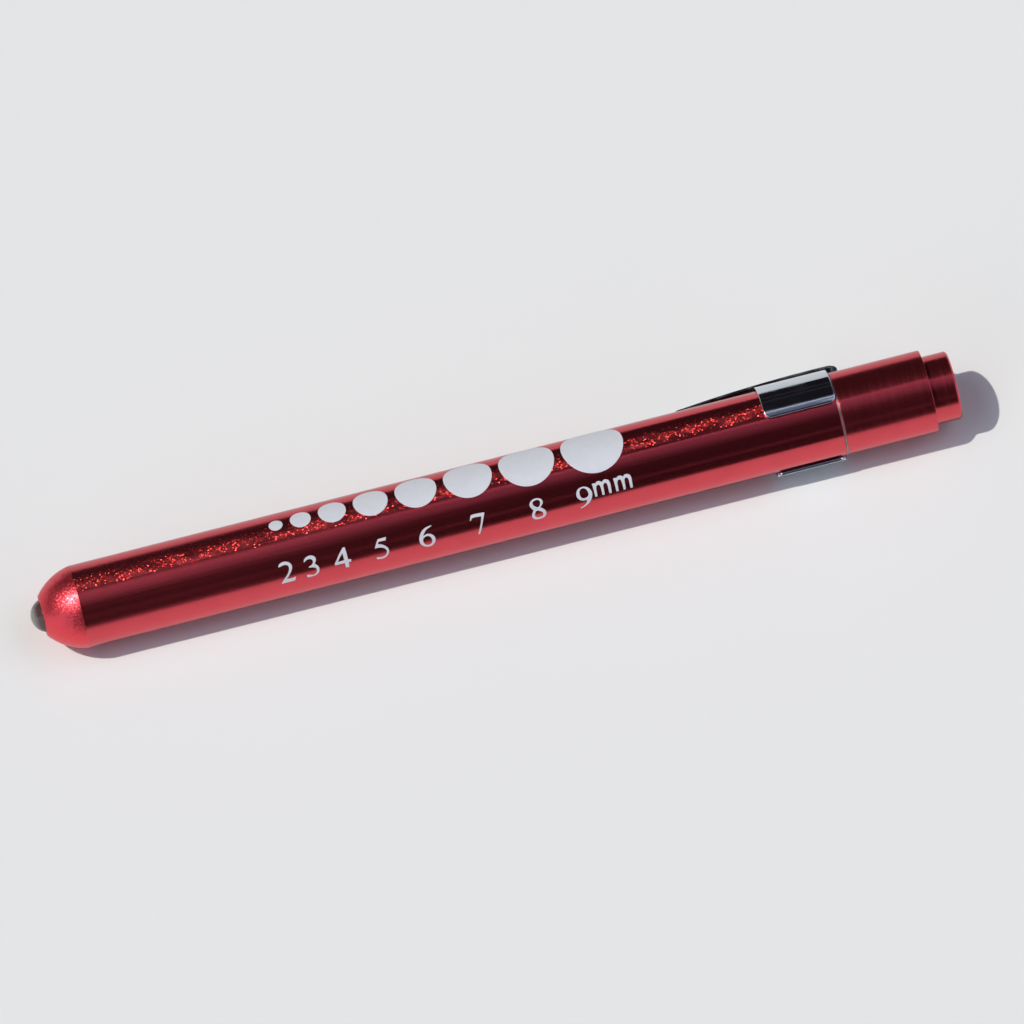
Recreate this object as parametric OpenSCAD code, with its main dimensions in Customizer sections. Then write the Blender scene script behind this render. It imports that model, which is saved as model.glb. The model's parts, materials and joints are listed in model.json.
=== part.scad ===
// Slim diagnostic penlight with a printed pupil gauge, in millimetres.
// The axis of the barrel is X: the nose rim is at the origin and the tail points to +X.
// Angles round the axis run from +Y (back) to +Z (up).

/* [Barrel] */
// Outer diameter of the barrel and tail cap
barrel_d = 12; // [11.8:0.1:13]
// Length of the barrel from the nose rim to the seam
barrel_len = 116.5; // [114:0.5:126]
// Wall of the barrel tube
barrel_wall = 0.6; // [0.5:0.05:0.65]
// Length of the bullet nose
nose_len = 5.3; // [4.8:0.1:6]
// Radius of the nose's profile arc
nose_arc_r = 8.6; // [8:0.1:12]
// Outer diameter of the flat ring round the nose hole
nose_rim_d = 5.8; // [5.6:0.05:6.2]
// Thickness of the nose at its hole
nose_face_t = 0.8; // [0.6:0.05:1]

/* [LED] */
// Diameter of the LED's body
led_d = 5; // [4.8:0.05:5.1]
// Length of the LED's body
led_len = 8.6; // [8.2:0.1:9.2]
// Height of the LED's dome in front of the nose rim
led_proud = 1.7; // [1.2:0.1:2]
// Diameter of the LED's flange
led_flange_d = 5.8; // [5.6:0.1:6]
// Thickness of the LED's flange
led_flange_t = 1; // [0.8:0.1:1.2]
// Length of the leads behind the LED
lead_run = 5; // [4:0.25:7]

/* [Cells] */
// Gap round a cell in the barrel
cell_clear = 0.25; // [0.2:0.05:0.5]
// Diameter of a cell's positive cap
cell_cap_d = 3.8; // [3.4:0.1:4.2]
// Height of a cell's positive cap
cell_cap_h = 0.9; // [0.8:0.1:1.4]

/* [Ferrule] */
// Length of the thread
thread_len = 5; // [4:0.5:6]
// Pitch of the thread
thread_pitch = 1; // [0.75:0.05:1.25]
// Depth of the thread
thread_depth = 0.3; // [0.2:0.05:0.35]
// Wall of the barrel left outside the thread
thread_wall = 0.45; // [0.4:0.05:0.5]
// Width of the collar that shows at the seam
collar_w = 0.25; // [0.2:0.05:0.5]
// Length of the ferrule's neck inside the tail cap
neck_len = 5.2; // [4.6:0.1:5.6]

/* [Tail cap] */
// Length of the tail cap from the seam to its shoulder
tail_len = 13.5; // [13:0.1:16]
// Wall of the tail cap
tail_wall = 0.6; // [0.5:0.05:0.65]
// Thickness of the end lip that keeps the button in
lip_t = 1.6; // [1.2:0.1:2]

/* [Button] */
// Width of the tail cap's shoulder round the button
shoulder_w = 0.99; // [0.85:0.01:1.2]
// Height of the button behind the shoulder
button_proud = 3.8; // [3:0.1:5]
// Travel of the button
button_travel = 1.6; // [1:0.1:1.8]
// Wall of the button's skirt
button_wall = 0.75; // [0.6:0.05:0.9]
// Thickness of the button's end
button_end_t = 1.2; // [1:0.1:1.6]
// Diameter of the plunger
plunger_d = 3; // [2.6:0.1:3.4]

/* [Springs] */
// Length of the battery spring behind the cells
battery_spring_len = 17.5; // [15:0.1:20]
// Wire diameter of the battery spring
battery_wire_d = 0.6; // [0.5:0.05:0.7]
// Turns of the battery spring
battery_turns = 7; // [5:1:9]
// Wire diameter of the return spring
return_wire_d = 0.5; // [0.4:0.05:0.6]
// Turns of the return spring
return_turns = 5; // [4:1:6]

/* [Clip] */
// Thickness of the clip's sheet
clip_t = 0.5; // [0.4:0.05:0.6]
// Length of the band along the barrel
band_len = 10.4; // [8:0.1:14]
// Open angle between the band's lips
band_gap_deg = 100; // [80:1:120]
// Angle of the arm below the horizontal, at the back
arm_dip_deg = 29; // [0:1:40]
// Width of the arm at its root
arm_root_w = 5.4; // [4.6:0.1:6]
// Width of the arm at its tip
arm_tip_w = 4.2; // [3.4:0.1:4.4]
// Reach of the fold behind the seam
fold_reach = 2.1; // [2:0.05:2.6]
// Radius of the fold, at the middle of the sheet
fold_r = 1.05; // [0.95:0.05:1.3]
// Radius of the arm's long arc
arm_arc_r = 122; // [95:1:125]
// Distance of the arm's highest place ahead of the seam
arm_apex = 5; // [4:0.5:7]
// Angle that the arm opens by
arm_open_deg = 6; // [3:1:8]

/* [Pupil gauge] */
// Diameter of the smallest disc
gauge_first_d = 2; // [1.5:0.5:2.5]
// Growth from one disc to the next
gauge_step_d = 1; // [0.8:0.1:1]
// Number of discs
gauge_count = 8; // [6:1:8]
// Gap between neighbouring discs
gauge_gap = 1.12; // [0.9:0.02:1.3]
// Distance of the smallest disc from the nose rim
gauge_start = 35; // [25:0.1:36]
// Angle of the row of discs round the axis
gauge_deg = 71.5; // [60:0.5:90]

/* [Hidden] */
$fn = 96;

// Overrun of every cut
cut = 0.5;
// Gap between faces that press on each other
touch = 0.02;
// Radial clearance of a pressed piece
press = 0.02;
// Radial clearance of a sliding or running piece
fit = 0.06;

// Barrel
barrel_r = barrel_d / 2;
bore_r = barrel_r - barrel_wall;
nose_rim_r = nose_rim_d / 2;
nose_steps = 16;
nose_chord = norm([nose_len, barrel_r - nose_rim_r]);
nose_sag = sqrt(nose_arc_r ^ 2 - nose_chord ^ 2 / 4);
nose_arc_x = nose_len / 2 + nose_sag * (barrel_r - nose_rim_r) / nose_chord;
nose_arc_y = (barrel_r + nose_rim_r) / 2 - nose_sag * nose_len / nose_chord;
function nose_r(x) = nose_arc_y + sqrt(nose_arc_r ^ 2 - (x - nose_arc_x) ^ 2);
seam = barrel_len;
thread_bore_r = barrel_r - thread_wall;
thread_bore_x = seam - thread_len - thread_pitch;

// LED
led_r = led_d / 2;
led_hole_r = led_r + fit;
led_base = led_len - led_proud;
led_flange_x = led_base - led_flange_t;
led_flange_r = led_flange_d / 2;
led_dome_steps = 14;
lead_w = 0.5;
lead_spacing = 2.54;
lead_z = lead_spacing / 2;
led_cup_x = led_r + led_proud / 2;
led_cup_share = 0.36;
led_cup_r = led_r * led_cup_share;
led_cup_h = led_cup_r;
die_share = 0.6;
die_r = led_cup_r * die_share;
die_t = die_r / 2;
led_hollow_r = lead_z + lead_w;
led_hollow_x = led_cup_x - die_t - fit;

// Holder and front contact
holder_front = led_flange_x - led_r;
contact_x = led_base + lead_run;
contact_t = 0.45;
contact_sink = contact_t;
contact_plate_r = (led_flange_r + bore_r) / 2;
contact_boss_r = cell_cap_d / 2 - contact_t;
contact_tip = contact_x + contact_t + contact_sink + contact_t / 2;
holder_back = contact_x + contact_t + contact_sink;
leg_x = led_base + lead_run / 3;

// Ferrule
crest_r = thread_bore_r - fit;
root_r = crest_r - thread_depth;
ferrule_wall = 0.55;
ferrule_bore_r = root_r - ferrule_wall;
ferrule_sides = 36;
thread_samples = 8;
thread_front = seam - thread_len;
collar_x = seam + touch;
collar_r = barrel_r - press;
collar_back = collar_x + collar_w;
neck_back = collar_back + neck_len;

// Tail cap and button
tail_bore_r = barrel_r - tail_wall;
neck_r = tail_bore_r - press;
tail_end = seam + tail_len;
lip_x = tail_end - lip_t;
button_hole_r = barrel_r - shoulder_w;
button_r = button_hole_r - fit;
button_end = tail_end + button_proud;
button_floor = button_end - button_end_t;
flange_r = tail_bore_r - fit;
flange_t = button_wall;
flange_back = lip_x - touch;
flange_front = flange_back - flange_t;
skirt_r = button_r - button_wall;
button_edge = button_wall / 3;
plunger_r = plunger_d / 2;
socket_r = plunger_r + button_wall;
socket_h = button_end_t + button_wall;

// Switch
carrier_r = ferrule_bore_r - fit;
carrier_wall = 0.7;
carrier_reach_share = 0.8;
carrier_front = seam - thread_len * carrier_reach_share;
carrier_flange_t = 2;
carrier_back = neck_back + touch + carrier_flange_t;
chamber_len = carrier_flange_t + carrier_wall;
web_back = carrier_back - chamber_len;
web_t = 2 * carrier_wall;
pocket_floor = web_back - web_t;
pocket_r = carrier_r - carrier_wall;
chamber_r = plunger_r * 2;
stud_share = 0.75;
stud_r = plunger_r * stud_share;
terminal_t = 0.4;
terminal_front = pocket_floor - terminal_t;
stud_back = web_back + terminal_t;
washer_t = terminal_t;
washer_back = carrier_back + washer_t;
plunger_tip = stud_back + button_travel + fit;
tip_share = 1.25;
tip_r = plunger_r * tip_share;
tip_t = terminal_t * tip_share;

// Cells, which fill the barrel up to the battery spring
front_cell_x = contact_tip + touch;
cell_len = (terminal_front - battery_spring_len - front_cell_x - touch) / 2;
rear_cell_x = front_cell_x + cell_len + touch;
cells_end = rear_cell_x + cell_len;
cell_r = bore_r - cell_clear;
jacket_t = 0.1;
jacket_inset = 0.6;
can_wall = 0.25;
can_r = cell_r - jacket_t;
core_r = can_r - can_wall;
base_t = 2 * can_wall;

// Springs
coil_rings = 12;
coil_sides = 6;
coil_flat_turns = 0.5;
battery_front_share = 0.68;
battery_front_r = pocket_r * battery_front_share;
battery_back_r = pocket_r - battery_wire_d;
return_r = (socket_r + skirt_r) / 2;

// Clip
arm_dip = -arm_dip_deg;
clip_inner_r = barrel_r + fit;
tab_y = clip_inner_r + clip_t / 2 + press;
fold_x = seam + fold_reach - fold_r - clip_t / 2;
fold_y = tab_y + fold_r;
arm_arc_x = seam - arm_apex;
arm_start_deg = asin((fold_x - arm_arc_x) / (arm_arc_r - fold_r));
arm_arc_y = fold_y - (arm_arc_r - fold_r) * cos(arm_start_deg);
flick_share = 8;
flick_r = clip_t * flick_share;
flick_deg = 25;
arm_low_y = barrel_r + 2 * fit + clip_t / 2;
arm_end_deg = acos((arm_low_y + flick_r - arm_arc_y) / (arm_arc_r + flick_r));
flick_x = arm_arc_x - (arm_arc_r + flick_r) * sin(arm_end_deg);
flick_y = arm_arc_y + (arm_arc_r + flick_r) * cos(arm_end_deg);
arm_tip_x = flick_x - (flick_r + clip_t / 2) * sin(flick_deg);
fold_band_deg = 35;
fold_clear_deg = 4;
fold_arm_deg = fold_band_deg + arm_open_deg + fold_clear_deg;
fold_steps = 10;
arm_steps = 14;
flick_steps = 6;
lip_round_r = 2 * clip_t;
lip_over_share = 1.005;
lip_deg = arm_dip + 180 + band_gap_deg / 2;
band_deg = 360 - band_gap_deg;
band_front = seam - band_len;

// Pupil gauge
ink_t = 0.03;
ink_lift = 0.005;
gauge_sides = 48;
function gauge_d(i) = gauge_first_d + i * gauge_step_d;
function gauge_x(i) = i == 0 ? gauge_start : gauge_x(i - 1) + (gauge_d(i - 1) + gauge_d(i)) / 2 + gauge_gap;

// Points of an arc about [cx, cy], from one angle to another
function arc(cx, cy, r, from, to, steps) =
    [for (i = [0 : steps]) let (a = from + (to - from) * i / steps) [cx + r * cos(a), cy + r * sin(a)]];

// The same list, from its end to its start
function backwards(list) = [for (i = [len(list) - 1 : -1 : 0]) list[i]];

// A turned solid from its half profile of [radius, x] points
module turned(profile) {
    rotate([90, 0, 90])
        rotate_extrude()
            polygon(profile);
}

// A turned tube or disc between two radii and two places on the axis
module ring(inner_r, outer_r, from_x, to_x) {
    turned([[inner_r, from_x], [outer_r, from_x], [outer_r, to_x], [inner_r, to_x]]);
}

// Faces of a grid of rings that closes on itself both ways or has a cap at each end
function grid_faces(rings, sides, closed) = [
    for (i = [0 : rings - (closed ? 1 : 2)])
        for (j = [0 : sides - 1])
            let (
                k = (j + 1) % sides,
                n = (i + 1) % rings
            )
            each [
                [i * sides + j, n * sides + k, i * sides + k],
                [i * sides + j, n * sides + j, n * sides + k]
            ]
];

// Place of a coil's wire at a turn count, with half a turn lying flat at each end
function coil_x(turn, turns, from_x, to_x) =
    let (run = (turn - coil_flat_turns) / (turns - 2 * coil_flat_turns))
    from_x + (to_x - from_x) * min(max(run, 0), 1);
function coil_r(turn, turns, from_r, to_r) = from_r + (to_r - from_r) * turn / turns;
function coil_at(turn, turns, from_x, to_x, from_r, to_r) =
    let (r = coil_r(turn, turns, from_r, to_r))
    [coil_x(turn, turns, from_x, to_x), r * cos(360 * turn), r * sin(360 * turn)];

// Least gap between the wire and itself half a turn or more further on
function coil_gap(turns, wire_d, from_x, to_x, from_r, to_r) =
    let (p = [for (i = [0 : turns * coil_rings]) coil_at(i / coil_rings, turns, from_x, to_x, from_r, to_r)])
    min([
        for (i = [0 : len(p) - 1])
            for (j = [i + coil_rings / 2 : 1 : len(p) - 1])
                norm(p[i] - p[j])
    ]) - wire_d;

// One unbroken tube wound round the axis
module coil(turns, wire_d, from_x, to_x, from_r, to_r) {
    rings = turns * coil_rings + 1;
    points = [
        for (i = [0 : rings - 1])
            let (
                turn = i / coil_rings,
                p = coil_at(turn, turns, from_x, to_x, from_r, to_r),
                out = [0, cos(360 * turn), sin(360 * turn)]
            )
            for (j = [0 : coil_sides - 1])
                let (a = 360 * j / coil_sides)
                p + wire_d / 2 * (cos(a) * out + sin(a) * [1, 0, 0])
    ];
    first_cap = [for (j = [0 : coil_sides - 1]) j];
    last_cap = [for (j = [coil_sides - 1 : -1 : 0]) (rings - 1) * coil_sides + j];
    polyhedron(points, concat(grid_faces(rings, coil_sides, false), [first_cap, last_cap]));
}

module barrel() {
    outer = [for (i = [0 : nose_steps]) let (x = nose_len * i / nose_steps) [nose_r(x), x]];
    inner = [
        for (i = [nose_steps : -1 : 0])
            let (x = nose_face_t + (nose_len - nose_face_t) * i / nose_steps)
            [nose_r(x) - barrel_wall, x]
    ];
    rear = [[barrel_r, seam], [thread_bore_r, seam], [thread_bore_r, thread_bore_x], [bore_r, thread_bore_x]];
    color("firebrick")
        turned(concat([[led_hole_r, 0]], outer, rear, inner, [[led_hole_r, nose_face_t]]));
}

// A disc is round on the unrolled barrel, so its outline narrows across the curve
module gauge_disc(d) {
    outline = [
        for (i = [0 : gauge_sides - 1])
            let (a = 360 * i / gauge_sides, bend = d / 2 * sin(a) / barrel_r * 180 / PI)
            [d / 2 * cos(a), barrel_r * sin(bend)]
    ];
    linear_extrude(barrel_d)
        polygon(outline);
}

module gauge_discs() {
    under_r = barrel_r + ink_lift;
    color("white")
        intersection() {
            ring(under_r, under_r + ink_t, nose_len, band_front);
            rotate([gauge_deg - 90, 0, 0])
                for (i = [0 : gauge_count - 1])
                    translate([gauge_x(i), 0, 0])
                        gauge_disc(gauge_d(i));
        }
}

module led_lens() {
    dome = [
        for (i = [0 : led_dome_steps])
            let (a = 90 * i / led_dome_steps)
            [led_r * sin(a), led_r - led_proud - led_r * cos(a)]
    ];
    body = [[led_r, led_flange_x], [led_flange_r, led_flange_x], [led_flange_r, led_base]];
    hollow = [[led_hollow_r, led_base], [led_hollow_r, led_hollow_x], [0, led_hollow_x]];
    color("gainsboro", 0.6)
        turned(concat(dome, body, hollow));
}

module led_die() {
    color("gold")
        ring(0, die_r, led_cup_x - die_t, led_cup_x);
}

// A square lead along the axis
module lead_bar(from_x, to_x, z) {
    translate([from_x, -lead_w / 2, z - lead_w / 2])
        cube([to_x - from_x, lead_w, lead_w]);
}

module cathode_lead() {
    neck_x = led_cup_x + led_cup_h - lead_w;
    wall_z = bore_r - touch;
    color("silver") {
        ring(0, led_cup_r, led_cup_x, led_cup_x + led_cup_h);
        translate([neck_x, -lead_w / 2, -lead_z - lead_w / 2])
            cube([lead_w, lead_w, lead_z]);
        lead_bar(neck_x, leg_x + lead_w, -lead_z);
        translate([leg_x, -lead_w / 2, -wall_z])
            cube([lead_w, lead_w, wall_z - lead_z]);
    }
}

module anode_lead() {
    color("silver")
        lead_bar(led_cup_x + led_cup_h, contact_x - touch, lead_z);
}

module led_holder() {
    nose = [
        for (i = [0 : nose_steps])
            let (x = holder_front + (nose_len - holder_front) * i / nose_steps)
            [nose_r(x) - barrel_wall - fit, x]
    ];
    recess_r = contact_plate_r + press;
    shoulder_r = led_flange_r + fit;
    back = [
        [bore_r - fit, holder_back], [recess_r, holder_back], [recess_r, contact_x],
        [shoulder_r, contact_x], [shoulder_r, led_flange_x - touch], [led_hole_r, led_flange_x - touch],
        [led_hole_r, holder_front]
    ];
    slot_w = lead_w + 2 * fit;
    color("dimgray")
        difference() {
            turned(concat(nose, back));
            translate([leg_x - fit, -slot_w / 2, -barrel_r])
                cube([holder_back, slot_w, barrel_r]);
        }
}

module front_contact() {
    plate_back = contact_x + contact_t;
    color("goldenrod")
        turned([
            [0, contact_x], [contact_plate_r, contact_x], [contact_plate_r, plate_back],
            [contact_boss_r, plate_back], [contact_boss_r, contact_tip], [0, contact_tip]
        ]);
}

// Steel can of a cell, with its positive cap at the given place and its rear end open
module cell_can(x) {
    top = x + cell_cap_h;
    bottom = x + cell_len;
    color("silver")
        turned([
            [0, x], [cell_cap_d / 2, x], [cell_cap_d / 2, top], [can_r, top], [can_r, bottom],
            [core_r, bottom], [core_r, top + can_wall], [0, top + can_wall]
        ]);
}

module cell_core(x) {
    color("dimgray")
        ring(0, core_r - press, x + cell_cap_h + can_wall + touch, x + cell_len - base_t - touch);
}

module cell_base(x) {
    color("silver")
        ring(0, core_r - press, x + cell_len - base_t, x + cell_len);
}

module cell_jacket(x) {
    color("darkslateblue")
        ring(can_r + touch / 2, cell_r, x + cell_cap_h + jacket_inset, x + cell_len - jacket_inset);
}

module front_cell_can() { cell_can(front_cell_x); }
module front_cell_core() { cell_core(front_cell_x); }
module front_cell_base() { cell_base(front_cell_x); }
module front_cell_jacket() { cell_jacket(front_cell_x); }
module rear_cell_can() { cell_can(rear_cell_x); }
module rear_cell_core() { cell_core(rear_cell_x); }
module rear_cell_base() { cell_base(rear_cell_x); }
module rear_cell_jacket() { cell_jacket(rear_cell_x); }

module battery_spring() {
    inset = battery_wire_d / 2 + touch;
    from_x = cells_end + inset;
    to_x = terminal_front - inset;
    gap = coil_gap(battery_turns, battery_wire_d, from_x, to_x, battery_front_r, battery_back_r);
    echo("battery spring least gap to itself, mm", gap);
    color("silver")
        coil(battery_turns, battery_wire_d, from_x, to_x, battery_front_r, battery_back_r);
}

// Radius of the thread: a rounded ridge that climbs one pitch a turn and fades in at the front
function thread_r(x, angle) =
    let (
        wave = (1 + cos(360 * x / thread_pitch - angle)) / 2,
        fade = min((x - thread_front) / thread_pitch, (seam - x) / thread_pitch, 1)
    )
    root_r + thread_depth * wave * fade;

module threaded_ferrule() {
    rings = ceil(thread_len / thread_pitch * thread_samples);
    thread = [for (i = [0 : rings]) let (x = thread_front + thread_len * i / rings) [x, -1]];
    plain = [
        [collar_x, root_r], [collar_x, collar_r], [collar_back, collar_r], [collar_back, neck_r],
        [neck_back, neck_r], [neck_back, ferrule_bore_r], [thread_front, ferrule_bore_r]
    ];
    stations = concat(thread, plain);
    points = [
        for (s = stations)
            for (j = [0 : ferrule_sides - 1])
                let (
                    a = 360 * j / ferrule_sides,
                    r = s[1] < 0 ? thread_r(s[0], a) : s[1]
                )
                [s[0], r * cos(a), r * sin(a)]
    ];
    color("lightgray")
        polyhedron(points, grid_faces(len(stations), ferrule_sides, true));
}

module tail_cap() {
    color("firebrick")
        turned([
            [tail_bore_r, collar_back], [barrel_r, collar_back], [barrel_r, tail_end],
            [button_hole_r, tail_end], [button_hole_r, lip_x], [tail_bore_r, lip_x]
        ]);
}

module switch_carrier() {
    color("ivory")
        turned([
            [pocket_r, carrier_front], [carrier_r, carrier_front], [carrier_r, neck_back + touch],
            [neck_r, neck_back + touch], [neck_r, carrier_back], [chamber_r, carrier_back],
            [chamber_r, web_back], [stud_r + press, web_back], [stud_r + press, pocket_floor],
            [pocket_r, pocket_floor]
        ]);
}

module spring_terminal() {
    plate_r = pocket_r - fit;
    color("goldenrod")
        turned([
            [0, terminal_front], [plate_r, terminal_front], [plate_r, pocket_floor],
            [stud_r, pocket_floor], [stud_r, stud_back], [0, stud_back]
        ]);
}

module contact_washer() {
    color("goldenrod")
        ring(socket_r, neck_r, carrier_back, washer_back);
}

module return_spring() {
    inset = return_wire_d / 2 + touch;
    from_x = washer_back + inset;
    to_x = button_floor - inset;
    gap = coil_gap(return_turns, return_wire_d, from_x, to_x, return_r, return_r);
    echo("return spring least gap to itself, mm", gap);
    color("silver")
        coil(return_turns, return_wire_d, from_x, to_x, return_r, return_r);
}

module push_button() {
    socket_front = button_floor - socket_h;
    color("firebrick")
        turned([
            [skirt_r, flange_front], [flange_r, flange_front], [flange_r, flange_back],
            [button_r, flange_back], [button_r, button_end - button_edge],
            [button_r - button_edge, button_end], [0, button_end], [0, button_floor],
            [plunger_r + press, button_floor], [plunger_r + press, socket_front],
            [socket_r, socket_front], [socket_r, button_floor], [skirt_r, button_floor]
        ]);
}

module plunger() {
    tip_back = plunger_tip + tip_t;
    color("goldenrod")
        turned([
            [0, plunger_tip], [tip_r, plunger_tip], [tip_r, tip_back], [plunger_r, tip_back],
            [plunger_r, button_floor - touch], [0, button_floor - touch]
        ]);
}

// Turns a strip drawn above the barrel, in the XZ plane, to the clip's place round it
module at_clip() {
    rotate([arm_dip - 90, 0, 0])
        children();
}

// A strip with the given side outline, drawn as [x, height above the axis]
module strip(outline, w) {
    rotate([90, 0, 0])
        linear_extrude(w, center = true)
            polygon(outline);
}

// Waste outside a rounded corner at the origin, whose sheet lies towards +X and +Y.
// Its circle runs a little over the sheet's two edges.
module corner_waste() {
    linear_extrude(barrel_d)
        difference() {
            translate([-cut, -cut])
                square(lip_round_r + cut);
            translate([lip_round_r, lip_round_r])
                circle(lip_round_r * lip_over_share);
        }
}

// The four corners of the band's two lips
module lip_waste() {
    for (side = [0, 1])
        rotate([lip_deg + side * band_deg - 90, 0, 0])
            for (end = [0, 1])
                translate([band_front + end * band_len, 0, 0])
                    mirror([end, 0, 0])
                        mirror([0, 1 - side, 0])
                            corner_waste();
}

module clip_band() {
    tab_from = seam - clip_t;
    tab = [[tab_from, tab_y + clip_t / 2], [tab_from, tab_y - clip_t / 2]];
    outside = arc(fold_x, fold_y, fold_r + clip_t / 2, -90, fold_band_deg, fold_steps);
    inside = arc(fold_x, fold_y, fold_r - clip_t / 2, -90, fold_band_deg, fold_steps);
    color("lightgray") {
        difference() {
            rotate([90, 0, 90])
                rotate([0, 0, lip_deg])
                    rotate_extrude(angle = band_deg)
                        translate([clip_inner_r, band_front])
                            square([clip_t, band_len]);
            lip_waste();
        }
        at_clip()
            strip(concat(tab, outside, backwards(inside)), arm_root_w);
    }
}

module clip_arm() {
    outer = concat(
        arc(fold_x, fold_y, fold_r + clip_t / 2, fold_arm_deg, 90 - arm_start_deg, fold_steps),
        arc(arm_arc_x, arm_arc_y, arm_arc_r + clip_t / 2, 90 - arm_start_deg, 90 + arm_end_deg, arm_steps),
        arc(flick_x, flick_y, flick_r - clip_t / 2, arm_end_deg - 90, -90 - flick_deg, flick_steps)
    );
    inner = concat(
        arc(fold_x, fold_y, fold_r - clip_t / 2, fold_arm_deg, 90 - arm_start_deg, fold_steps),
        arc(arm_arc_x, arm_arc_y, arm_arc_r - clip_t / 2, 90 - arm_start_deg, 90 + arm_end_deg, arm_steps),
        arc(flick_x, flick_y, flick_r + clip_t / 2, arm_end_deg - 90, -90 - flick_deg, flick_steps)
    );
    rear = fold_x + fold_r + clip_t;
    tip_w = arm_tip_w / 2;
    root_w = arm_root_w / 2;
    plan = concat(
        [[rear, -root_w], [rear, root_w], [fold_x, root_w]],
        arc(arm_tip_x + tip_w, 0, tip_w, 90, 270, arm_steps),
        [[fold_x, -root_w]]
    );
    color("lightgray")
        at_clip()
            intersection() {
                strip(concat(outer, backwards(inner)), arm_root_w + cut);
                linear_extrude(barrel_d)
                    polygon(plan);
            }
}

barrel();
gauge_discs();
led_lens();
led_die();
cathode_lead();
anode_lead();
led_holder();
front_contact();
front_cell_can();
front_cell_core();
front_cell_base();
front_cell_jacket();
rear_cell_can();
rear_cell_core();
rear_cell_base();
rear_cell_jacket();
battery_spring();
threaded_ferrule();
tail_cap();
switch_carrier();
spring_terminal();
contact_washer();
return_spring();
push_button();
plunger();
clip_band();
clip_arm();
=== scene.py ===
"""Looks of a slim diagnostic penlight with a printed pupil gauge, built round its packed solids."""

import json
import math

import bpy
from mathutils import Matrix, Vector


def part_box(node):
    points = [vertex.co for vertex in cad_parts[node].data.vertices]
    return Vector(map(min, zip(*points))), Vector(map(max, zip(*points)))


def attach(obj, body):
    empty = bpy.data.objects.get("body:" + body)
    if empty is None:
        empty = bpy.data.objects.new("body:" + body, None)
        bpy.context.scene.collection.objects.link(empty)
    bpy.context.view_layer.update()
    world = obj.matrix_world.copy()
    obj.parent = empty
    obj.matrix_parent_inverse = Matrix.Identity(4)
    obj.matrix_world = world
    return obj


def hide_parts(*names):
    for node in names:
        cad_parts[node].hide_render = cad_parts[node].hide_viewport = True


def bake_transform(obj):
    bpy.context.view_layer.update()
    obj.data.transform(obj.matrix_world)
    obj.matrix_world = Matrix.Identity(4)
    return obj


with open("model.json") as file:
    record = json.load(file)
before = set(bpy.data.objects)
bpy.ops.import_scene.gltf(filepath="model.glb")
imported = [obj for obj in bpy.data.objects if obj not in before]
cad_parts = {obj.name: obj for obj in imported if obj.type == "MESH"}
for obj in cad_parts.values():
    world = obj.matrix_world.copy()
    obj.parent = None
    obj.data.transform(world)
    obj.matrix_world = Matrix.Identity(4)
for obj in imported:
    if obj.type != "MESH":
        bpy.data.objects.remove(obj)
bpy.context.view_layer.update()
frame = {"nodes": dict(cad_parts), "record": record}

bl_info = {
    "name": "Penlight with a pupil gauge",
    "version": (1, 0, 0),
    "blender": (4, 5, 0),
    "location": "View3D > Sidebar > Penlight",
    "description": "Builds the looks of a slim penlight round its packed solids",
    "category": "Object",
}

MM = 0.001
# Steps of a full turn on the lathe
TURN_STEPS = 192
# Vertices closer than this become one
WELD = 2e-6
# Distance of the point that stands beside each rounded edge
SUPPORT = 0.03 * MM
# Angle above which an edge stays sharp
SHARP = math.radians(32)

# Steps along a curved profile and on each rounded edge
CURVE_STEPS = 28
EASE_STEPS = 5
# Steps round a turn of the thread, round the spring's wire and round a turn of the spring
THREAD_STEPS = 72
WIRE_STEPS = 12
SPRING_STEPS = 48
# Discs of the gauge, steps round each, and steps between two knots of a figure's outline
DISC_COUNT = 8
DISC_STEPS = 96
FIGURE_STEPS = 6
# Height of the rows that the print is cut into before it is bent, and the bend of each row of the clip's band
PRINT_ROW = 0.24 * MM
BAND_ROW = math.radians(2)
# Half of the thread's ridge as a share of the pitch, and its foot and its crest as shares of that half
RIDGE_HALF = 0.36
RIDGE_FOOT = 0.85
RIDGE_CREST = 0.25
# Steps along the clip arm: its root, with the length of each, its fold, its long arc and its tip
ROOT_STEPS = 4
ROOT_STEP = 0.2 * MM
FOLD_STEPS = 24
ARM_STEPS = 40
FLICK_STEPS = 14
# Rows across the arm as shares of half its width, angles where its tip is cut, and the least share there
ARM_ROWS = (0.08, 0.46, 0.46, 0.46, 0.46, 0.08)
TIP_ANGLES = (24, 40, 56, 72, 88)
TIP_LEAST = 0.02
# Steps on the clip's edges and on its lips' corners, and how many roundings the cuts lie from the edges
EDGE_STEPS = 3
LIP_STEPS = 10
INSET = 2.2

DEGREE = math.radians(1)
# Values that a noise mostly lies between, and waves a metre of the metal's grain, facets and clouds of dye
NOISE_LOW, NOISE_HIGH = 0.3, 0.7
GRAIN = 5200
FACETS = 7500
CLOUD = 260
# How metallic the dyed coat is
DYE_METALLIC = 0.97
# Share of the facets that are loose where the barrel is worn, the width of the satin nose's edge, and the angles
# of the crease at the clip's lip
LOOSE_SHARE = 0.28
SATIN_EDGE = 0.05 * MM
LIP_CREASE = (-11, -0.5)
# A soft band starts at its first number, is full from the second to the third and stops at the fourth. These
# are degrees back from straight up, for the worn grain on the barrel and for the studio's lights
WORN_BAND = (-9, -1, 4, 22)
OVERHEAD_BAND = (-32, 2, 5, 10)
CORE_BAND = (4, 4.7, 5.3, 6)
FRONT_LINE = (-69, -65, -62, -58)
BACK_LINES = ((51, 51.6, 52.4, 53), (63, 63.6, 64.4, 65))
BOX_BAND = (-32, -10, 6, 26)
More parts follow.
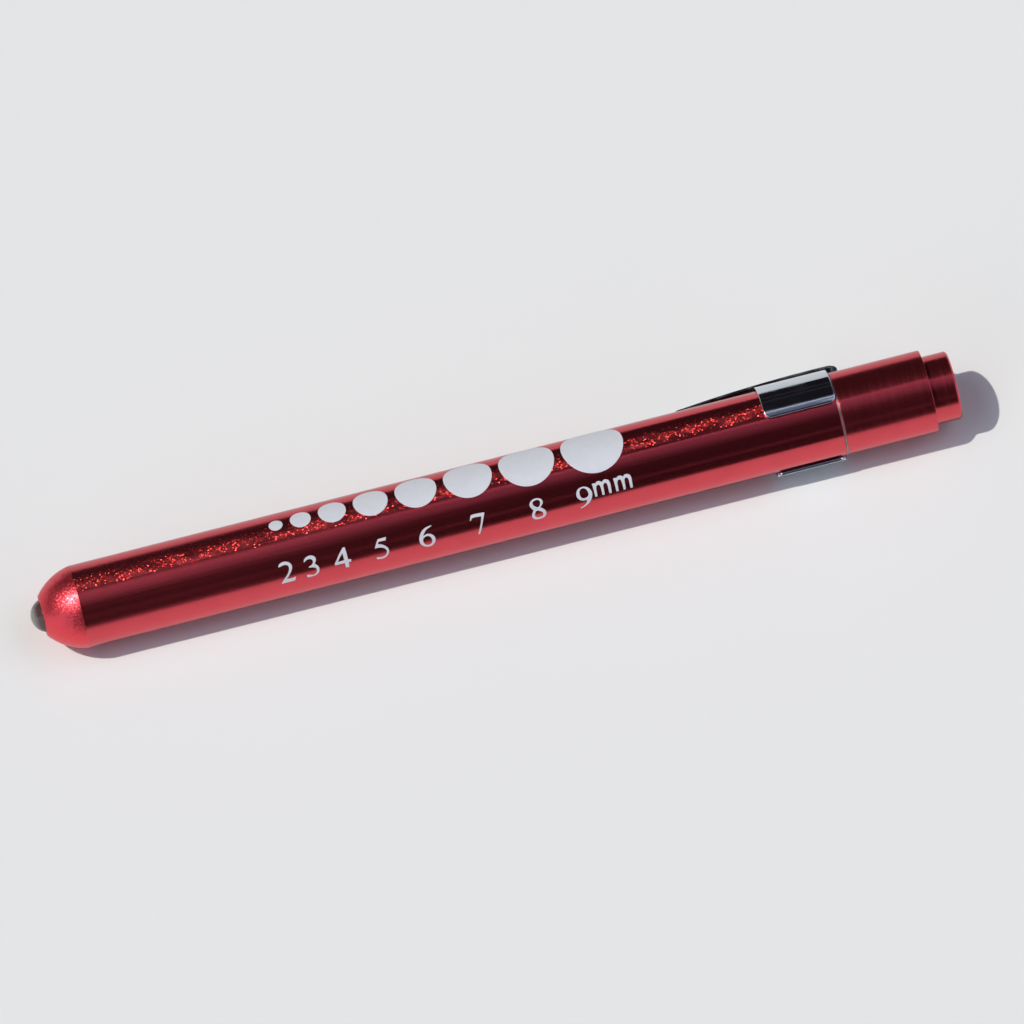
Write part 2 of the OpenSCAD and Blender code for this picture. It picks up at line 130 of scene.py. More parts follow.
# The soft boxes from the nose end to the tail end, and how strong the tail's box and the lines behind are
NOSE_BOX = (-0.72, -0.52, -0.4, -0.2)
TAIL_BOX = (0.2, 0.4, 0.65, 0.9)
TAIL_SHARE = 0.62
BACK_SHARE = 0.7
# Where the light of the front ends, and where that of the corners and of both ends sets in
FRONT_EDGE = (-40, -20)
CORNER_EDGE = (0.42, 0.68)
END_EDGE = (0.4, 0.7)
# The point that the camera looks at, and the way from there to the camera
CAMERA_TARGET = Vector((68.32, -1.849, -0.972)) * MM
CAMERA_BACK = Vector((-0.0698, -0.4606, 0.8849))

# Finishes of the inner pieces by slot: name, colour, metallic, both ends of the roughness, waves a metre and
# depth in millimetres
INNER_FINISHES = {
    "phosphor": ("phosphor_cap", (0.75, 0.52, 0.06), 0.0, 0.5, 0.7, 9000, 0.004),
    "tinned_steel": ("tinned_leads", (0.6, 0.6, 0.6), 1.0, 0.2, 0.35, 5000, 0.003),
    "black_plastic": ("moulded_black", (0.03, 0.03, 0.032), 0.0, 0.4, 0.6, 3000, 0.006),
    "white_plastic": ("moulded_ivory", (0.75, 0.73, 0.66), 0.0, 0.4, 0.6, 3000, 0.006),
    "contact_brass": ("contact_brass", (0.8, 0.56, 0.2), 1.0, 0.18, 0.35, 4000, 0.003),
    "cell_steel": ("cell_nickel", (0.66, 0.65, 0.62), 1.0, 0.2, 0.35, 3000, 0.003),
    "cell_mix": ("cell_powder", (0.05, 0.05, 0.05), 0.0, 0.8, 0.95, 3000, 0.02),
    "cell_film": ("cell_film", (0.03, 0.04, 0.16), 0.0, 0.22, 0.35, 1200, 0.004),
    "spring_steel": ("spring_wire", (0.58, 0.58, 0.6), 1.0, 0.2, 0.35, 6000, 0.003),
}

# Outlines of the printed figures and of the unit, in hundredths of a millimetre from the left foot: a third
# number marks a corner, and a second or third outline is a hole
OUTLINE_UNIT = 0.01 * MM
OUTLINES = {
    "2": [
        [(7, 276), (25, 309), (60, 329), (102, 334), (143, 324), (181, 299), (202, 260), (200, 218),
         (181, 174), (148, 127), (114, 87), (92, 67, 1), (135, 60), (181, 62), (229, 72, 1), (208, 4, 1),
         (143, 0, 1), (68, -1), (0, 2, 1), (28, 39), (60, 77), (95, 118), (125, 157), (145, 197),
         (151, 235), (143, 262), (123, 276), (85, 280), (48, 274), (20, 266, 1)],
    ],
    "3": [
        [(0, 257, 1), (17, 293), (50, 317), (100, 329), (146, 318), (177, 289), (183, 254), (172, 221),
         (152, 194, 1), (183, 164), (202, 124), (202, 79), (185, 41), (150, 12), (108, -3), (58, -3),
         (7, 2, 1), (5, 44, 1), (38, 41), (75, 28), (108, 22), (137, 36), (156, 64), (160, 96), (149, 122),
         (123, 138), (90, 147), (58, 147, 1), (58, 172, 1), (93, 183), (118, 203), (129, 227), (126, 251),
         (112, 268), (83, 277), (54, 273), (30, 262), (12, 244, 1)],
    ],
    "4": [
        [(163, 324, 1), (195, 322, 1), (202, 231), (205, 132, 1), (248, 124, 1), (242, 82, 1), (205, 79, 1),
         (202, -1, 1), (148, -1, 1), (143, 81, 1), (2, 82, 1), (0, 111, 1), (38, 166), (88, 237),
         (130, 289)],
        [(140, 237, 1), (143, 134, 1), (57, 129, 1), (92, 182)],
    ],
    "5": [
        [(75, 316, 1), (202, 319, 1), (185, 267, 1), (80, 271, 1), (65, 244, 1), (101, 234), (140, 212),
         (176, 179), (198, 141), (202, 104), (188, 62), (160, 26), (120, 2), (78, -4), (8, 6, 1),
         (0, 44, 1), (38, 37), (75, 31), (107, 32), (140, 52), (161, 84), (163, 114), (148, 146),
         (122, 167), (80, 182), (42, 187), (3, 186, 1), (15, 212), (38, 260)],
    ],
    "6": [
        [(217, 322, 1), (221, 309, 1), (182, 292), (141, 276), (108, 247), (86, 219), (74, 196, 1),
         (116, 212), (164, 206), (202, 184), (228, 147), (235, 106), (224, 64), (196, 26), (158, 2),
         (114, 0), (66, 16), (28, 47), (6, 87), (0, 132), (9, 182), (31, 231), (61, 268), (102, 299),
         (156, 316)],
        [(88, 167), (127, 176), (159, 159), (177, 122), (178, 77), (158, 44), (123, 34), (86, 47), (64, 81),
         (57, 121), (64, 149)],
    ],
    "7": [
        [(0, 239, 1), (18, 236, 1), (37, 264), (75, 271), (125, 269), (172, 264, 1), (153, 196), (125, 119),
         (100, 54), (77, -3, 1), (107, -6, 1), (138, 62), (175, 161), (205, 239), (233, 304, 1),
         (223, 316, 1), (158, 321), (75, 324), (33, 321, 1), (18, 294)],
    ],
    "8": [
        [(85, 326), (137, 322), (180, 301), (198, 264), (189, 226), (148, 179, 1), (183, 152), (208, 116),
         (215, 74), (203, 34), (167, 2), (112, -9), (58, -3), (20, 19), (3, 59), (8, 102), (40, 159, 1),
         (15, 194), (0, 231), (7, 272), (37, 307)],
        [(90, 293), (128, 294), (152, 271), (152, 239), (137, 209), (115, 193), (82, 209), (57, 235),
         (52, 266), (65, 285)],
        [(85, 136), (127, 121), (158, 96), (168, 66), (155, 37), (118, 29), (77, 34), (52, 60), (53, 94),
         (67, 119)],
    ],
    "9": [
        [(109, 322), (150, 315), (193, 289), (221, 246), (231, 200), (220, 146), (194, 90), (159, 53),
         (114, 22), (64, -1), (24, -7, 1), (20, 6, 1), (56, 19), (93, 39), (120, 69), (134, 110, 1),
         (99, 110), (56, 122), (20, 151), (0, 192), (1, 237), (20, 283), (57, 312)],
        [(93, 293), (127, 290), (156, 265), (169, 226), (169, 185), (149, 160), (116, 150), (81, 157),
         (60, 186), (54, 229), (64, 272)],
    ],
    "m": [
        [(0, 329, 1), (41, 333, 1), (47, 323, 1), (79, 345), (120, 343), (147, 322, 1), (177, 345),
         (216, 343), (249, 322), (261, 289), (261, 212), (256, 123, 1), (216, 123, 1), (214, 190),
         (211, 266), (198, 289), (176, 289), (161, 266), (157, 190), (151, 122, 1), (114, 122, 1),
         (113, 190), (106, 266), (94, 287), (69, 283), (55, 260), (51, 190), (48, 123, 1), (9, 123, 1),
         (7, 212)],
    ],
}
# Each figure with the place of its left foot, in millimetres from the nose rim
FIGURES = (
    ("2", 33.73),
    ("3", 37.46),
    ("4", 41.71),
    ("5", 47.7),
    ("6", 54.17),
    ("7", 61.78),
    ("8", 70.55),
    ("9", 77.36),
    ("m", 79.85),
    ("m", 82.95),
)

BARREL_LOW, BARREL_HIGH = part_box("barrel")
LENS_LOW, LENS_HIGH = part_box("led_lens")
FERRULE_LOW, FERRULE_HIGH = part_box("threaded_ferrule")
CAP_LOW, CAP_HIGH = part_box("tail_cap")
BUTTON_LOW, BUTTON_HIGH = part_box("push_button")
BAND_LOW, BAND_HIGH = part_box("clip_band")
SPRING_LOW, SPRING_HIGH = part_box("return_spring")


def length(name, description, millimetres):
    """A size, kept in metres."""
    return bpy.props.FloatProperty(
        name=name,
        description=description,
        default=millimetres * MM,
        precision=5,
        subtype="DISTANCE",
        unit="LENGTH",
    )


def turn(name, description, degrees):
    """An angle, kept in radians."""
    return bpy.props.FloatProperty(
        name=name, description=description, default=math.radians(degrees), subtype="ANGLE", unit="ROTATION"
    )


def share(name, description, value):
    """A plain number."""
    return bpy.props.FloatProperty(name=name, description=description, default=value, precision=3)


def colour(name, description, *rgb):
    """A linear colour."""
    return bpy.props.FloatVectorProperty(
        name=name, description=description, default=rgb, size=3, min=0, max=1, subtype="COLOR"
    )


class BarrelSizes(bpy.types.PropertyGroup):
    """Sizes of the barrel and of the LED in its nose"""

    radius: length("Radius", "Outside radius of the barrel", BARREL_HIGH.z / MM)
    seam: length("Seam", "Distance from the nose rim to the seam", BARREL_HIGH.x / MM)
    wall: length("Wall", "Wall of the tube", 0.6)
    nose_length: length("Nose length", "Length of the bullet nose", 5.3)
    nose_arc: length("Nose arc", "Radius of the nose's profile", 8.6)
    rim_radius: length("Rim", "Outside radius of the flat ring at the nose", 2.9)
    hole_radius: length("Hole", "Radius of the hole for the LED", 2.56)
    face: length("Face", "Thickness of the nose at its hole", 0.8)
    thread_radius: length("Thread bore", "Radius of the bore that takes the ferrule", 5.55)
    thread_length: length("Thread length", "Depth of that bore from the seam", 6)
    edge: length("Edge", "Rounding of the tube's edges", 0.07)
    lens_radius: length("LED radius", "Radius of the LED's body", 2.5)
    flange_radius: length("LED flange", "Radius of the LED's flange", LENS_HIGH.z / MM)
    flange_width: length("LED flange width", "Thickness of the LED's flange", 1)


class TailSizes(bpy.types.PropertyGroup):
    """Sizes of the ferrule, the tail cap, the button and its spring"""

    bore_radius: length("Bore", "Inside radius of the tail cap", 5.4)
    lip: length("Lip", "Thickness of the lip that keeps the button in", 1.6)
    button_hole: length("Button hole", "Radius of the hole for the button", 5.01)
    cap_edge: length("Shoulder edge", "Rounding of the tail cap's shoulder", 0.06)
    seam_edge: length("Seam edge", "Rounding of the edges at the seam", 0.07)
    button_radius: length("Button radius", "Radius of the button", 4.95)
    button_edge: length("Button edge", "Chamfer of the button's end", 0.25)
    skirt_radius: length("Skirt", "Inside radius of the button's skirt", 4.2)
    flange_width: length("Flange", "Thickness of the flange that keeps the button in", 0.75)
    button_end: length("Button end", "Thickness of the button's end", 1.2)
    button_round: length("Button rounding", "Rounding of the chamfer's edges", 0.06)
    socket_radius: length("Socket", "Radius of the socket for the plunger", 2.25)
    socket_length: length("Socket length", "Length of that socket", 1.95)
    plunger_bore: length("Plunger bore", "Radius of the bore that takes the plunger", 1.52)
    hole_edge: length("Hole edge", "Rounding of the button hole and of the neck's end", 0.1)
    collar_width: length("Collar", "Width of the ferrule's collar", 0.25)
    collar_radius: length("Collar radius", "Radius of the ferrule's collar", 5.98)
    collar_edge: length("Collar edge", "Rounding of the ferrule's collar", 0.05)
    lead_in: length("Lead-in", "Chamfer of the ferrule's front", 0.15)
    root_radius: length("Thread root", "Radius at the bottom of the thread", 5.19)
    crest_radius: length("Thread crest", "Radius at the top of the thread", 5.49)
    neck_radius: length("Neck", "Radius of the neck in the tail cap", 5.38)
    ferrule_bore: length("Ferrule bore", "Inside radius of the ferrule", 4.64)
    pitch: length("Pitch", "Pitch of the thread", 1)
    ridge_gap: length("Thread gap", "Gap between the ferrule's front and its thread", 0.2)
    ridge_root: length("Ridge root", "How deep the ridge goes into the sleeve", 0.1)
    crest_drop: length("Crest drop", "How much lower the crest is at its sides", 0.03)
    wire: length("Wire", "Diameter of the return spring's wire", 0.5)
    coils: share("Coils", "Turns of the return spring", 5)


class GaugeSizes(bpy.types.PropertyGroup):
    """Sizes of the printed gauge"""

    first: length("First disc", "Diameter of the smallest disc", 2)
    step: length("Step", "Growth from one disc to the next", 1)
    gap: length("Gap", "Gap between neighbouring discs", 1.12)
    start: length("Start", "Distance of the smallest disc from the nose rim", 35)
    disc_angle: turn("Disc row", "Angle of the row of discs, up from the front", 108.5)
    figure_angle: turn("Figure row", "Angle of the figures' feet, up from the front", 21.6)
    thin: length("Thin", "How much thinner the figures' strokes are than their outlines", 0.03)
    ink: length("Ink", "Thickness of the ink", 0.03)
    lift: length("Lift", "Gap under the ink", 0.005)


class ClipSizes(bpy.types.PropertyGroup):
    """Sizes of the pocket clip"""

    sheet: length("Sheet", "Thickness of the sheet", 0.5)
    inside: length("Inside", "Inside radius of the band", 6.06)
    open_angle: turn("Opening", "Angle between the band's lips", 100)
    dip: turn("Dip", "Angle of the arm below the horizontal, at the back", 29)
    lip_round: length("Lip corner", "Radius of the lips' corners", 1)
    edge: length("Edge", "Rounding of the sheet's edges", 0.12)
    fold_x: length("Fold place", "Place of the fold's centre along the barrel", 117.3)
    fold_height: length("Fold height", "Height of the fold's centre above the axis", 7.38)
    fold_radius: length("Fold radius", "Radius of the fold, at the middle of the sheet", 1.05)
    arc_radius: length("Arm arc", "Radius of the arm's long arc", 122)
    arc_x: length("Arm apex", "Place of the arm's highest point along the barrel", 111.5)
    flick_radius: length("Flick", "Radius of the turned-up tip", 4)
    flick_angle: turn("Flick angle", "Angle that the tip turns up by", 25)
    rest_height: length("Rest", "Height of the arm's middle where it rests on the barrel", 6.37)
    root_width: length("Root width", "Width of the arm at the fold", 5.4)
    tip_width: length("Tip width", "Width of the arm at its tip", 4.2)
    root_ease: length("Root ease", "Length over which the arm's root turns flat", 2.1)
    flex_start: length("Flex start", "Distance from the axis where the fold starts to bend", 6.7)
    flex_length: length("Flex length", "Length over which the fold bends", 1.37)
    flex_lean: share("Flex lean", "Lean of that bend towards the nose", 0.15)


class Finishes(bpy.types.PropertyGroup):
    """Colours of the finishes"""

    anodised: colour("Anodised red", "Dyed anodised aluminium", 0.72, 0.085, 0.105)
    ink: colour("Ink", "White printing ink", 0.68, 0.69, 0.75)
    plating: colour("Plating", "Bright plated steel", 0.66, 0.71, 0.76)
    aluminium: colour("Aluminium", "Bare turned aluminium", 0.74, 0.74, 0.75)
    # Darker, browner colour of the ferrule's collar at the seam
    seam_collar_dark: colour("Dust", "Dust in the seam", 0.21, 0.15, 0.145)
    epoxy: colour("Epoxy", "Clear epoxy of the LED", 0.74, 0.77, 0.7)
    # The satin nose's red is brighter than the tube's: a painted sheen on top of the dye
    satin_painted_sheen: colour("Satin red", "The dye on the satin nose", 0.86, 0.078, 0.1)
    edge: colour("Edge", "How much the dye keeps of light that grazes it", 0.75, 0.87, 0.87)
    worn: colour("Worn red", "Grains of the dyed coat that stand on edge", 0.66, 0.045, 0.04)
    # Painted shade and a painted red reflection of the nose, laid into the LED's epoxy deeper in
    glow: colour("Glow", "Tint that the nose lends to the epoxy", 0.3, 0.15, 0.15)
    floor: colour("Floor", "Pale floor under the penlight", 0.84, 0.84, 0.84)
    sun: colour("Key light", "Warm key light", 1.0, 0.97, 0.88)
    overhead: colour("Overhead", "Cool soft light overhead", 0.06, 0.064, 0.095)
    core: colour("Core", "Bright line along the overhead light", 0.36, 0.37, 0.38)
    fill: colour("Fill", "Soft box above the nose", 0.64, 0.7, 0.84)
    aside: colour("Sides", "Dim light from both ends", 0.022, 0.024, 0.03)
    low: colour("Low", "Light from both front corners", 0.25, 0.275, 0.33)
    line: colour("Lines", "Thin lines of light in front and behind", 0.024, 0.024, 0.028)
    dark: colour("Dark", "Dark front and back of the studio", 0.0034, 0.003, 0.004)


class StageSizes(bpy.types.PropertyGroup):
    """Sizes of the stage"""

    distance: length("Distance", "Distance of the camera", 3450)
    focal: share("Focal length", "Focal length of the camera, in millimetres", 854.2)
    roll: turn("Roll", "Slope of the barrel in the picture", 14.245)
    sun_height: turn("Sun height", "Height of the key light", 62)
    sun_back: turn("Sun back", "Lean of the key light towards the back", 0.3)
    sun_spread: turn("Sun spread", "Apparent size of the key light", 1.2)
    sun_strength: share("Sun strength", "Strength of the key light", 2.2)
    sky_strength: share("Sky strength", "Strength of the soft light", 3)
    lie: turn("Lie", "Turn of the floor round the barrel, towards the front", 3)
    floor_gap: length("Floor gap", "Gap under the clip's band", 0.02)
    floor_size: length("Floor", "Side of the floor", 6000)


def select_all():
    """Select the whole mesh in edit mode."""
    bpy.ops.mesh.select_all(action="SELECT")


def extrude(step):
    """Extrude what is selected by a step."""
    bpy.ops.mesh.extrude_region_move(TRANSFORM_OT_translate={"value": step})


def weld():
    """Join the vertices of the whole mesh that lie together."""
    select_all()
    bpy.ops.mesh.remove_doubles(threshold=WELD)


def new_piece(name):
    """Start a piece in edit mode, from a plane that is merged to one vertex at the origin."""
    bpy.ops.object.select_all(action="DESELECT")
    bpy.ops.mesh.primitive_plane_add(size=MM)
    piece = bpy.context.object
    piece.name = piece.data.name = name
    bpy.ops.object.mode_set(mode="EDIT")
    select_all()
    bpy.ops.mesh.merge(type="CENTER")
    return piece


def draw(points):
    """Extrude the selected vertex from point to point."""
    at = Vector((0, 0, 0))
    for number, point in enumerate(points):
        step = Vector(point) - at
        if number:
            extrude(step)
        else:
            bpy.ops.transform.translate(value=step)
        at += step


def close_up(piece):
    """Weld a drawn mesh, point its faces outwards and shade it."""
    weld()
    bpy.ops.mesh.normals_make_consistent(inside=False)
    bpy.ops.object.mode_set(mode="OBJECT")
    bpy.ops.object.shade_smooth_by_angle(angle=SHARP)
    if not piece.data.polygons:
        raise RuntimeError(f"{piece.name} has no faces")


def turned(name, outline, closed=True):
    """Spin an outline of (x, radius) points round the axis of the barrel."""
    piece = new_piece(name)
    outline = [tuple(point) for point in outline]
    draw([(x, 0, radius) for x, radius in (outline + outline[:1] if closed else outline)])
    select_all()
    bpy.ops.mesh.spin(steps=TURN_STEPS, angle=math.tau, center=(0, 0, 0), axis=(1, 0, 0))
    close_up(piece)
    return piece


def eased(corners, closed=True):
    """Outline through (x, radius, ease) corners, each rounded by its ease between two support points."""
    outline = []
    for number, (x, radius, ease) in enumerate(corners):
        here = Vector((x, radius))
        if not ease or (not closed and number in (0, len(corners) - 1)):
            outline.append(here)
            continue
        before = Vector(corners[number - 1][:2]) - here
        after = Vector(corners[(number + 1) % len(corners)][:2]) - here
        half = before.angle(after) / 2
        before.normalize()
        after.normalize()
        run = ease / math.tan(half)
        middle = here + (before + after).normalized() * ease / math.sin(half)
        first = here + before * run - middle
        last = here + after * run - middle
        outline.append(here + before * (run + SUPPORT))
        shares = [step / EASE_STEPS for step in range(EASE_STEPS + 1)]
        outline.extend(middle + ease * first.slerp(last, part) for part in shares)
        outline.append(here + after * (run + SUPPORT))
    return outline


def join(pieces):
    """Join pieces into the first one."""
    bpy.ops.object.select_all(action="DESELECT")
    for piece in pieces:
        piece.select_set(True)
    bpy.context.view_layer.objects.active = pieces[0]
    bpy.ops.object.join()


def use_modifier(piece, kind, **settings):
    """Add a modifier to the piece and apply it."""
    bpy.context.view_layer.objects.active = piece
    bpy.ops.object.modifier_add(type=kind)
    modifier = piece.modifiers[-1]
    for key, value in settings.items():
        setattr(modifier, key, value)
    bpy.ops.object.modifier_apply(modifier=modifier.name)


def wind(piece, pitch, turns, steps):
    """Wind a drawn ring round the axis of the barrel and close both ends."""
    weld()
    bpy.ops.object.mode_set(mode="OBJECT")
    use_modifier(
        piece,
        "SCREW",
        axis="X",
        angle=math.tau,
        screw_offset=pitch,
        iterations=turns,
        steps=steps,
        render_steps=steps,
    )
    bpy.ops.object.mode_set(mode="EDIT")
    weld()
    bpy.ops.mesh.fill_holes(sides=0)
    close_up(piece)


def cut_across(axis, places):
    """Cut the mesh in edit mode with planes across one axis."""
    normal = [0, 0, 0]
    normal["XYZ".index(axis)] = 1
    for place in places:
        select_all()
        bpy.ops.mesh.bisect(plane_co=[place * part for part in normal], plane_no=normal)


def even_places(low, high, step):
    """Places between two ends, about a step apart."""
    count = max(1, math.ceil((high - low) / step))
    return [low + (high - low) * number / count for number in range(1, count)]


def wrap_round_axis(piece, radius):
    """Bend a sheet that stands in the XZ plane round the axis, with Z as the distance along the curve."""
    heights = [vertex.co.z for vertex in piece.data.vertices]
    use_modifier(
        piece,
        "SIMPLE_DEFORM",
        deform_method="BEND",
        deform_axis="X",
        angle=(max(heights) - min(heights)) / radius,
    )
    bpy.ops.object.mode_set(mode="EDIT")
    select_all()
    bpy.ops.transform.translate(value=(0, -radius, 0))


def feed(tree, node, feeds):
    """Link a node's sockets to outputs or set their values, with full opacity for a colour."""
    for name, value in feeds.items():
        socket = node.inputs[name]
        if isinstance(value, bpy.types.NodeSocket):
            tree.links.new(value, socket)
        elif socket.type == "RGBA":
            socket.default_value = (*value, 1)
        else:
            socket.default_value = value


def put(tree, kind, feeds=None, **settings):
    """Add a shader node with its settings and what feeds its sockets."""
    node = tree.nodes.new(kind)
    for key, value in settings.items():
        setattr(node, key, value)
    feed(tree, node, feeds or {})
    return node


def split(tree, vector):
    """The three parts of a vector."""
    return put(tree, "ShaderNodeSeparateXYZ", {0: vector}).outputs


def math_of(tree, operation, first, second):
    """Output of a math node."""
    return put(tree, "ShaderNodeMath", {0: first, 1: second}, operation=operation).outputs[0]


def times(tree, first, second):
    """Product of two values."""
    return math_of(tree, "MULTIPLY", first, second)


def between(tree, value, low, high, to_low, to_high, curve="LINEAR"):
    """Output of a map range node."""
    feeds = {"Value": value, "From Min": low, "From Max": high, "To Min": to_low, "To Max": to_high}
    return put(tree, "ShaderNodeMapRange", feeds, interpolation_type=curve).outputs["Result"]


def uneven(tree, value, low, high):
    """A noise spread between two values."""
    return between(tree, value, NOISE_LOW, NOISE_HIGH, low, high)


def rise(tree, value, edge, unit=1, ends=(0, 1)):
    """Soft step over the two numbers of an edge."""
    return between(tree, value, edge[0] * unit, edge[1] * unit, *ends, "SMOOTHSTEP")


def soft_band(tree, value, places, unit=1):
    """Soft band over four places."""
    return times(tree, rise(tree, value, places[:2], unit), rise(tree, value, places[2:], unit, (1, 0)))


def noise(tree, vector, scale, detail=2.0, rough=0.5, dimensions="3D"):
    """Height output of a noise texture."""
    feeds = {"Vector": vector, "Scale": scale, "Detail": detail, "Roughness": rough}
    return put(tree, "ShaderNodeTexNoise", feeds, noise_dimensions=dimensions).outputs[0]


def streaks(tree, flat, along, across):
    """Noise on an unrolled sheet, from its waves a metre both ways."""
    return noise(tree, stretched(tree, flat, along, across, 0), 1, 3, 0.6, "2D")


def vector_math(tree, operation, feeds):
    """First output of a vector math node."""
    return put(tree, "ShaderNodeVectorMath", feeds, operation=operation).outputs[0]


def stretched(tree, vector, x, y, z):
    """The vector with each part multiplied."""
    return vector_math(tree, "MULTIPLY", {0: vector, 1: (x, y, z)})


def tinted(tree, factor, dark, light):
    """Colour between two others, each a tuple or a node's output."""
    return put(tree, "ShaderNodeMix", {0: factor, 6: dark, 7: light}, data_type="RGBA").outputs[2]


def mottled(tree, factor, rgb, low, high):
    """A colour that a noise makes darker and lighter."""
    return tinted(tree, factor, shaded(rgb, low), shaded(rgb, high))


def bumped(tree, height, depth, normal=None):
    """Normal output of a bump node, on top of another normal if there is one."""
    feeds = {"Height": height, "Distance": depth, "Strength": 1.0}
    if normal:
        feeds["Normal"] = normal
    return put(tree, "ShaderNodeBump", feeds).outputs[0]


def shaded(colour_rgb, factor):
    """A colour made darker or lighter."""
    return tuple(min(1.0, part * factor) for part in colour_rgb)


def new_material(name):
    """A material with its node tree and its object coordinates."""
    material = bpy.data.materials.new(name)
    material.use_nodes = True
    tree = material.node_tree
    return material, tree, put(tree, "ShaderNodeTexCoord").outputs["Object"]


def dressed(material, **values):
    """The material with what its main shader gets, named with underscores for spaces."""
    tree = material.node_tree
    shader = next(node for node in tree.nodes if node.type == "BSDF_PRINCIPLED")
    feed(tree, shader, {key.replace("_", " "): value for key, value in values.items()})
    return material


def unrolled(tree, coordinates, radius):
    """A place on the barrel: how far along it, its angle from the top, and both on the unrolled sheet."""
    parts = split(tree, coordinates)
    angle = math_of(tree, "ARCTAN2", parts["Y"], parts["Z"])
    flat = put(tree, "ShaderNodeCombineXYZ", {"X": parts["X"], "Y": times(tree, angle, radius)}).outputs[0]
    return parts["X"], angle, flat


def tilted(tree, cells, amount):
    """Normal of tiny facets that each lean another way, as their cells' colours say."""
    lean = vector_math(tree, "SUBTRACT", {0: cells, 1: (0.5, 0.5, 0.5)})
    lean = vector_math(tree, "SCALE", {0: lean, "Scale": amount})
    normal = put(tree, "ShaderNodeNewGeometry").outputs["Normal"]
    return vector_math(tree, "NORMALIZE", {0: vector_math(tree, "ADD", {0: normal, 1: lean})})


def dyed(tree, coordinates, finishes):
    """The red dye, slightly clouded."""
    return mottled(tree, noise(tree, coordinates, CLOUD, 3), finishes.anodised, 0.92, 1.08)


def barrel_red(finishes, sizes):
    """Dyed drawn tube: lines along it, a fine grain, a streak of loose grain on top and a satin nose, whose
    brighter red is a painted sheen.
    """
    material, tree, coordinates = new_material("anodised_tube")
    along, angle, flat = unrolled(tree, coordinates, sizes.radius)

    def rearwards(first, last):
        """A value that changes from the front of the tube to its rear."""
        return between(tree, along, sizes.nose_length * 4, sizes.seam * 0.75, first, last)

    lines = streaks(tree, flat, 40, GRAIN)
    patch = between(tree, streaks(tree, flat, 260, 700), 0.38, 0.62, 0.35, 1)
    worn = times(tree, soft_band(tree, angle, WORN_BAND, DEGREE), patch)
    cells = put(tree, "ShaderNodeTexVoronoi", {"Vector": coordinates, "Scale": FACETS}).outputs["Color"]
    channels = put(tree, "ShaderNodeSeparateColor", {0: cells}).outputs
    loose = math_of(tree, "LESS_THAN", channels[0], times(tree, worn, LOOSE_SHARE))
    # The satin nose, whose brighter red is a painted sheen
    satin_painted_sheen = between(tree, along, sizes.nose_length - SATIN_EDGE, sizes.nose_length, 1, 0)
    # Roughness of each loose grain, of the worn band, of the nose and of the tube
    coarse = times(tree, loose, between(tree, channels[1], 0, 1, 0.03, 0.3))
    coarse = math_of(tree, "ADD", coarse, times(tree, worn, rearwards(0.16, 0.24)))
    coarse = math_of(tree, "MAXIMUM", coarse, times(tree, satin_painted_sheen, 0.12))
    rough = math_of(tree, "ADD", uneven(tree, lines, 0.13, 0.18), rearwards(0.08, 0))
    # Lean of the facets
    amount = math_of(tree, "MAXIMUM", times(tree, loose, 0.8), times(tree, satin_painted_sheen, 0.24))
    amount = math_of(tree, "MAXIMUM", amount, times(tree, worn, 0.15))
    normal = bumped(tree, lines, 0.0022 * MM, tilted(tree, cells, amount))
    red = tinted(tree, loose, dyed(tree, coordinates, finishes), finishes.worn)
    return dressed(
        material,
        Base_Color=tinted(tree, satin_painted_sheen, red, finishes.satin_painted_sheen),
        Metallic=DYE_METALLIC,
        Specular_Tint=finishes.edge,
        Roughness=math_of(tree, "ADD", rough, coarse),
        Normal=bumped(tree, noise(tree, coordinates, GRAIN), 0.0022 * MM, normal),
        Coat_Weight=times(tree, satin_painted_sheen, 0.05),
        Coat_Roughness=0.1,
    )


def turned_red(finishes):
    """The same dye on lathe-turned pieces, whose fine tool lines run round them."""
    material, tree, coordinates = new_material("anodised_turned")
    parts = split(tree, coordinates)
    away = put(tree, "ShaderNodeCombineXYZ", {"Y": parts["Y"], "Z": parts["Z"]}).outputs[0]
    radius = put(tree, "ShaderNodeVectorMath", {0: away}, operation="LENGTH").outputs["Value"]
    tool = put(tree, "ShaderNodeCombineXYZ", {"X": parts["X"], "Y": radius}).outputs[0]
    lines = noise(tree, tool, GRAIN, 3, 0.6, "2D")
    normal = bumped(tree, lines, 0.0035 * MM)
    return dressed(
        material,
        Base_Color=dyed(tree, coordinates, finishes),
        Metallic=DYE_METALLIC,
        Specular_Tint=finishes.edge,
        Roughness=uneven(tree, lines, 0.16, 0.26),
        Normal=bumped(tree, noise(tree, coordinates, GRAIN), 0.0015 * MM, normal),
    )


def printing_ink(finishes):
    """White ink, slightly uneven where the screen laid it down."""
    material, tree, coordinates = new_material("printing_ink")
    mottle = noise(tree, coordinates, 900, 3)
    return dressed(
        material,
        Base_Color=mottled(tree, mottle, finishes.ink, 0.95, 1.05),
        Roughness=uneven(tree, mottle, 0.42, 0.55),
        Normal=bumped(tree, noise(tree, coordinates, 7000, 1), 0.004 * MM),
    )


def bright_plating(finishes, sizes):
    """Bright plated spring steel, with faint lines along the sheet and a few rubbed places."""
    material, tree, coordinates = new_material("bright_plating")
    _, angle, flat = unrolled(tree, coordinates, sizes.inside)
    rubs = noise(tree, coordinates, 420, 4)
    # The upper lip is set in by a few degrees behind a crease
    lip = between(tree, angle, LIP_CREASE[0] * DEGREE, LIP_CREASE[1] * DEGREE, 0, 1)
    normal = bumped(tree, lip, 0.169 * MM)
    return dressed(
        material,
        Base_Color=mottled(tree, rubs, finishes.plating, 0.9, 1.08),
        Metallic=1.0,
        Roughness=between(tree, rubs, 0.35, 0.75, 0.07, 0.17),
        Normal=bumped(tree, streaks(tree, flat, 90, 4200), 0.0012 * MM, normal),
    )


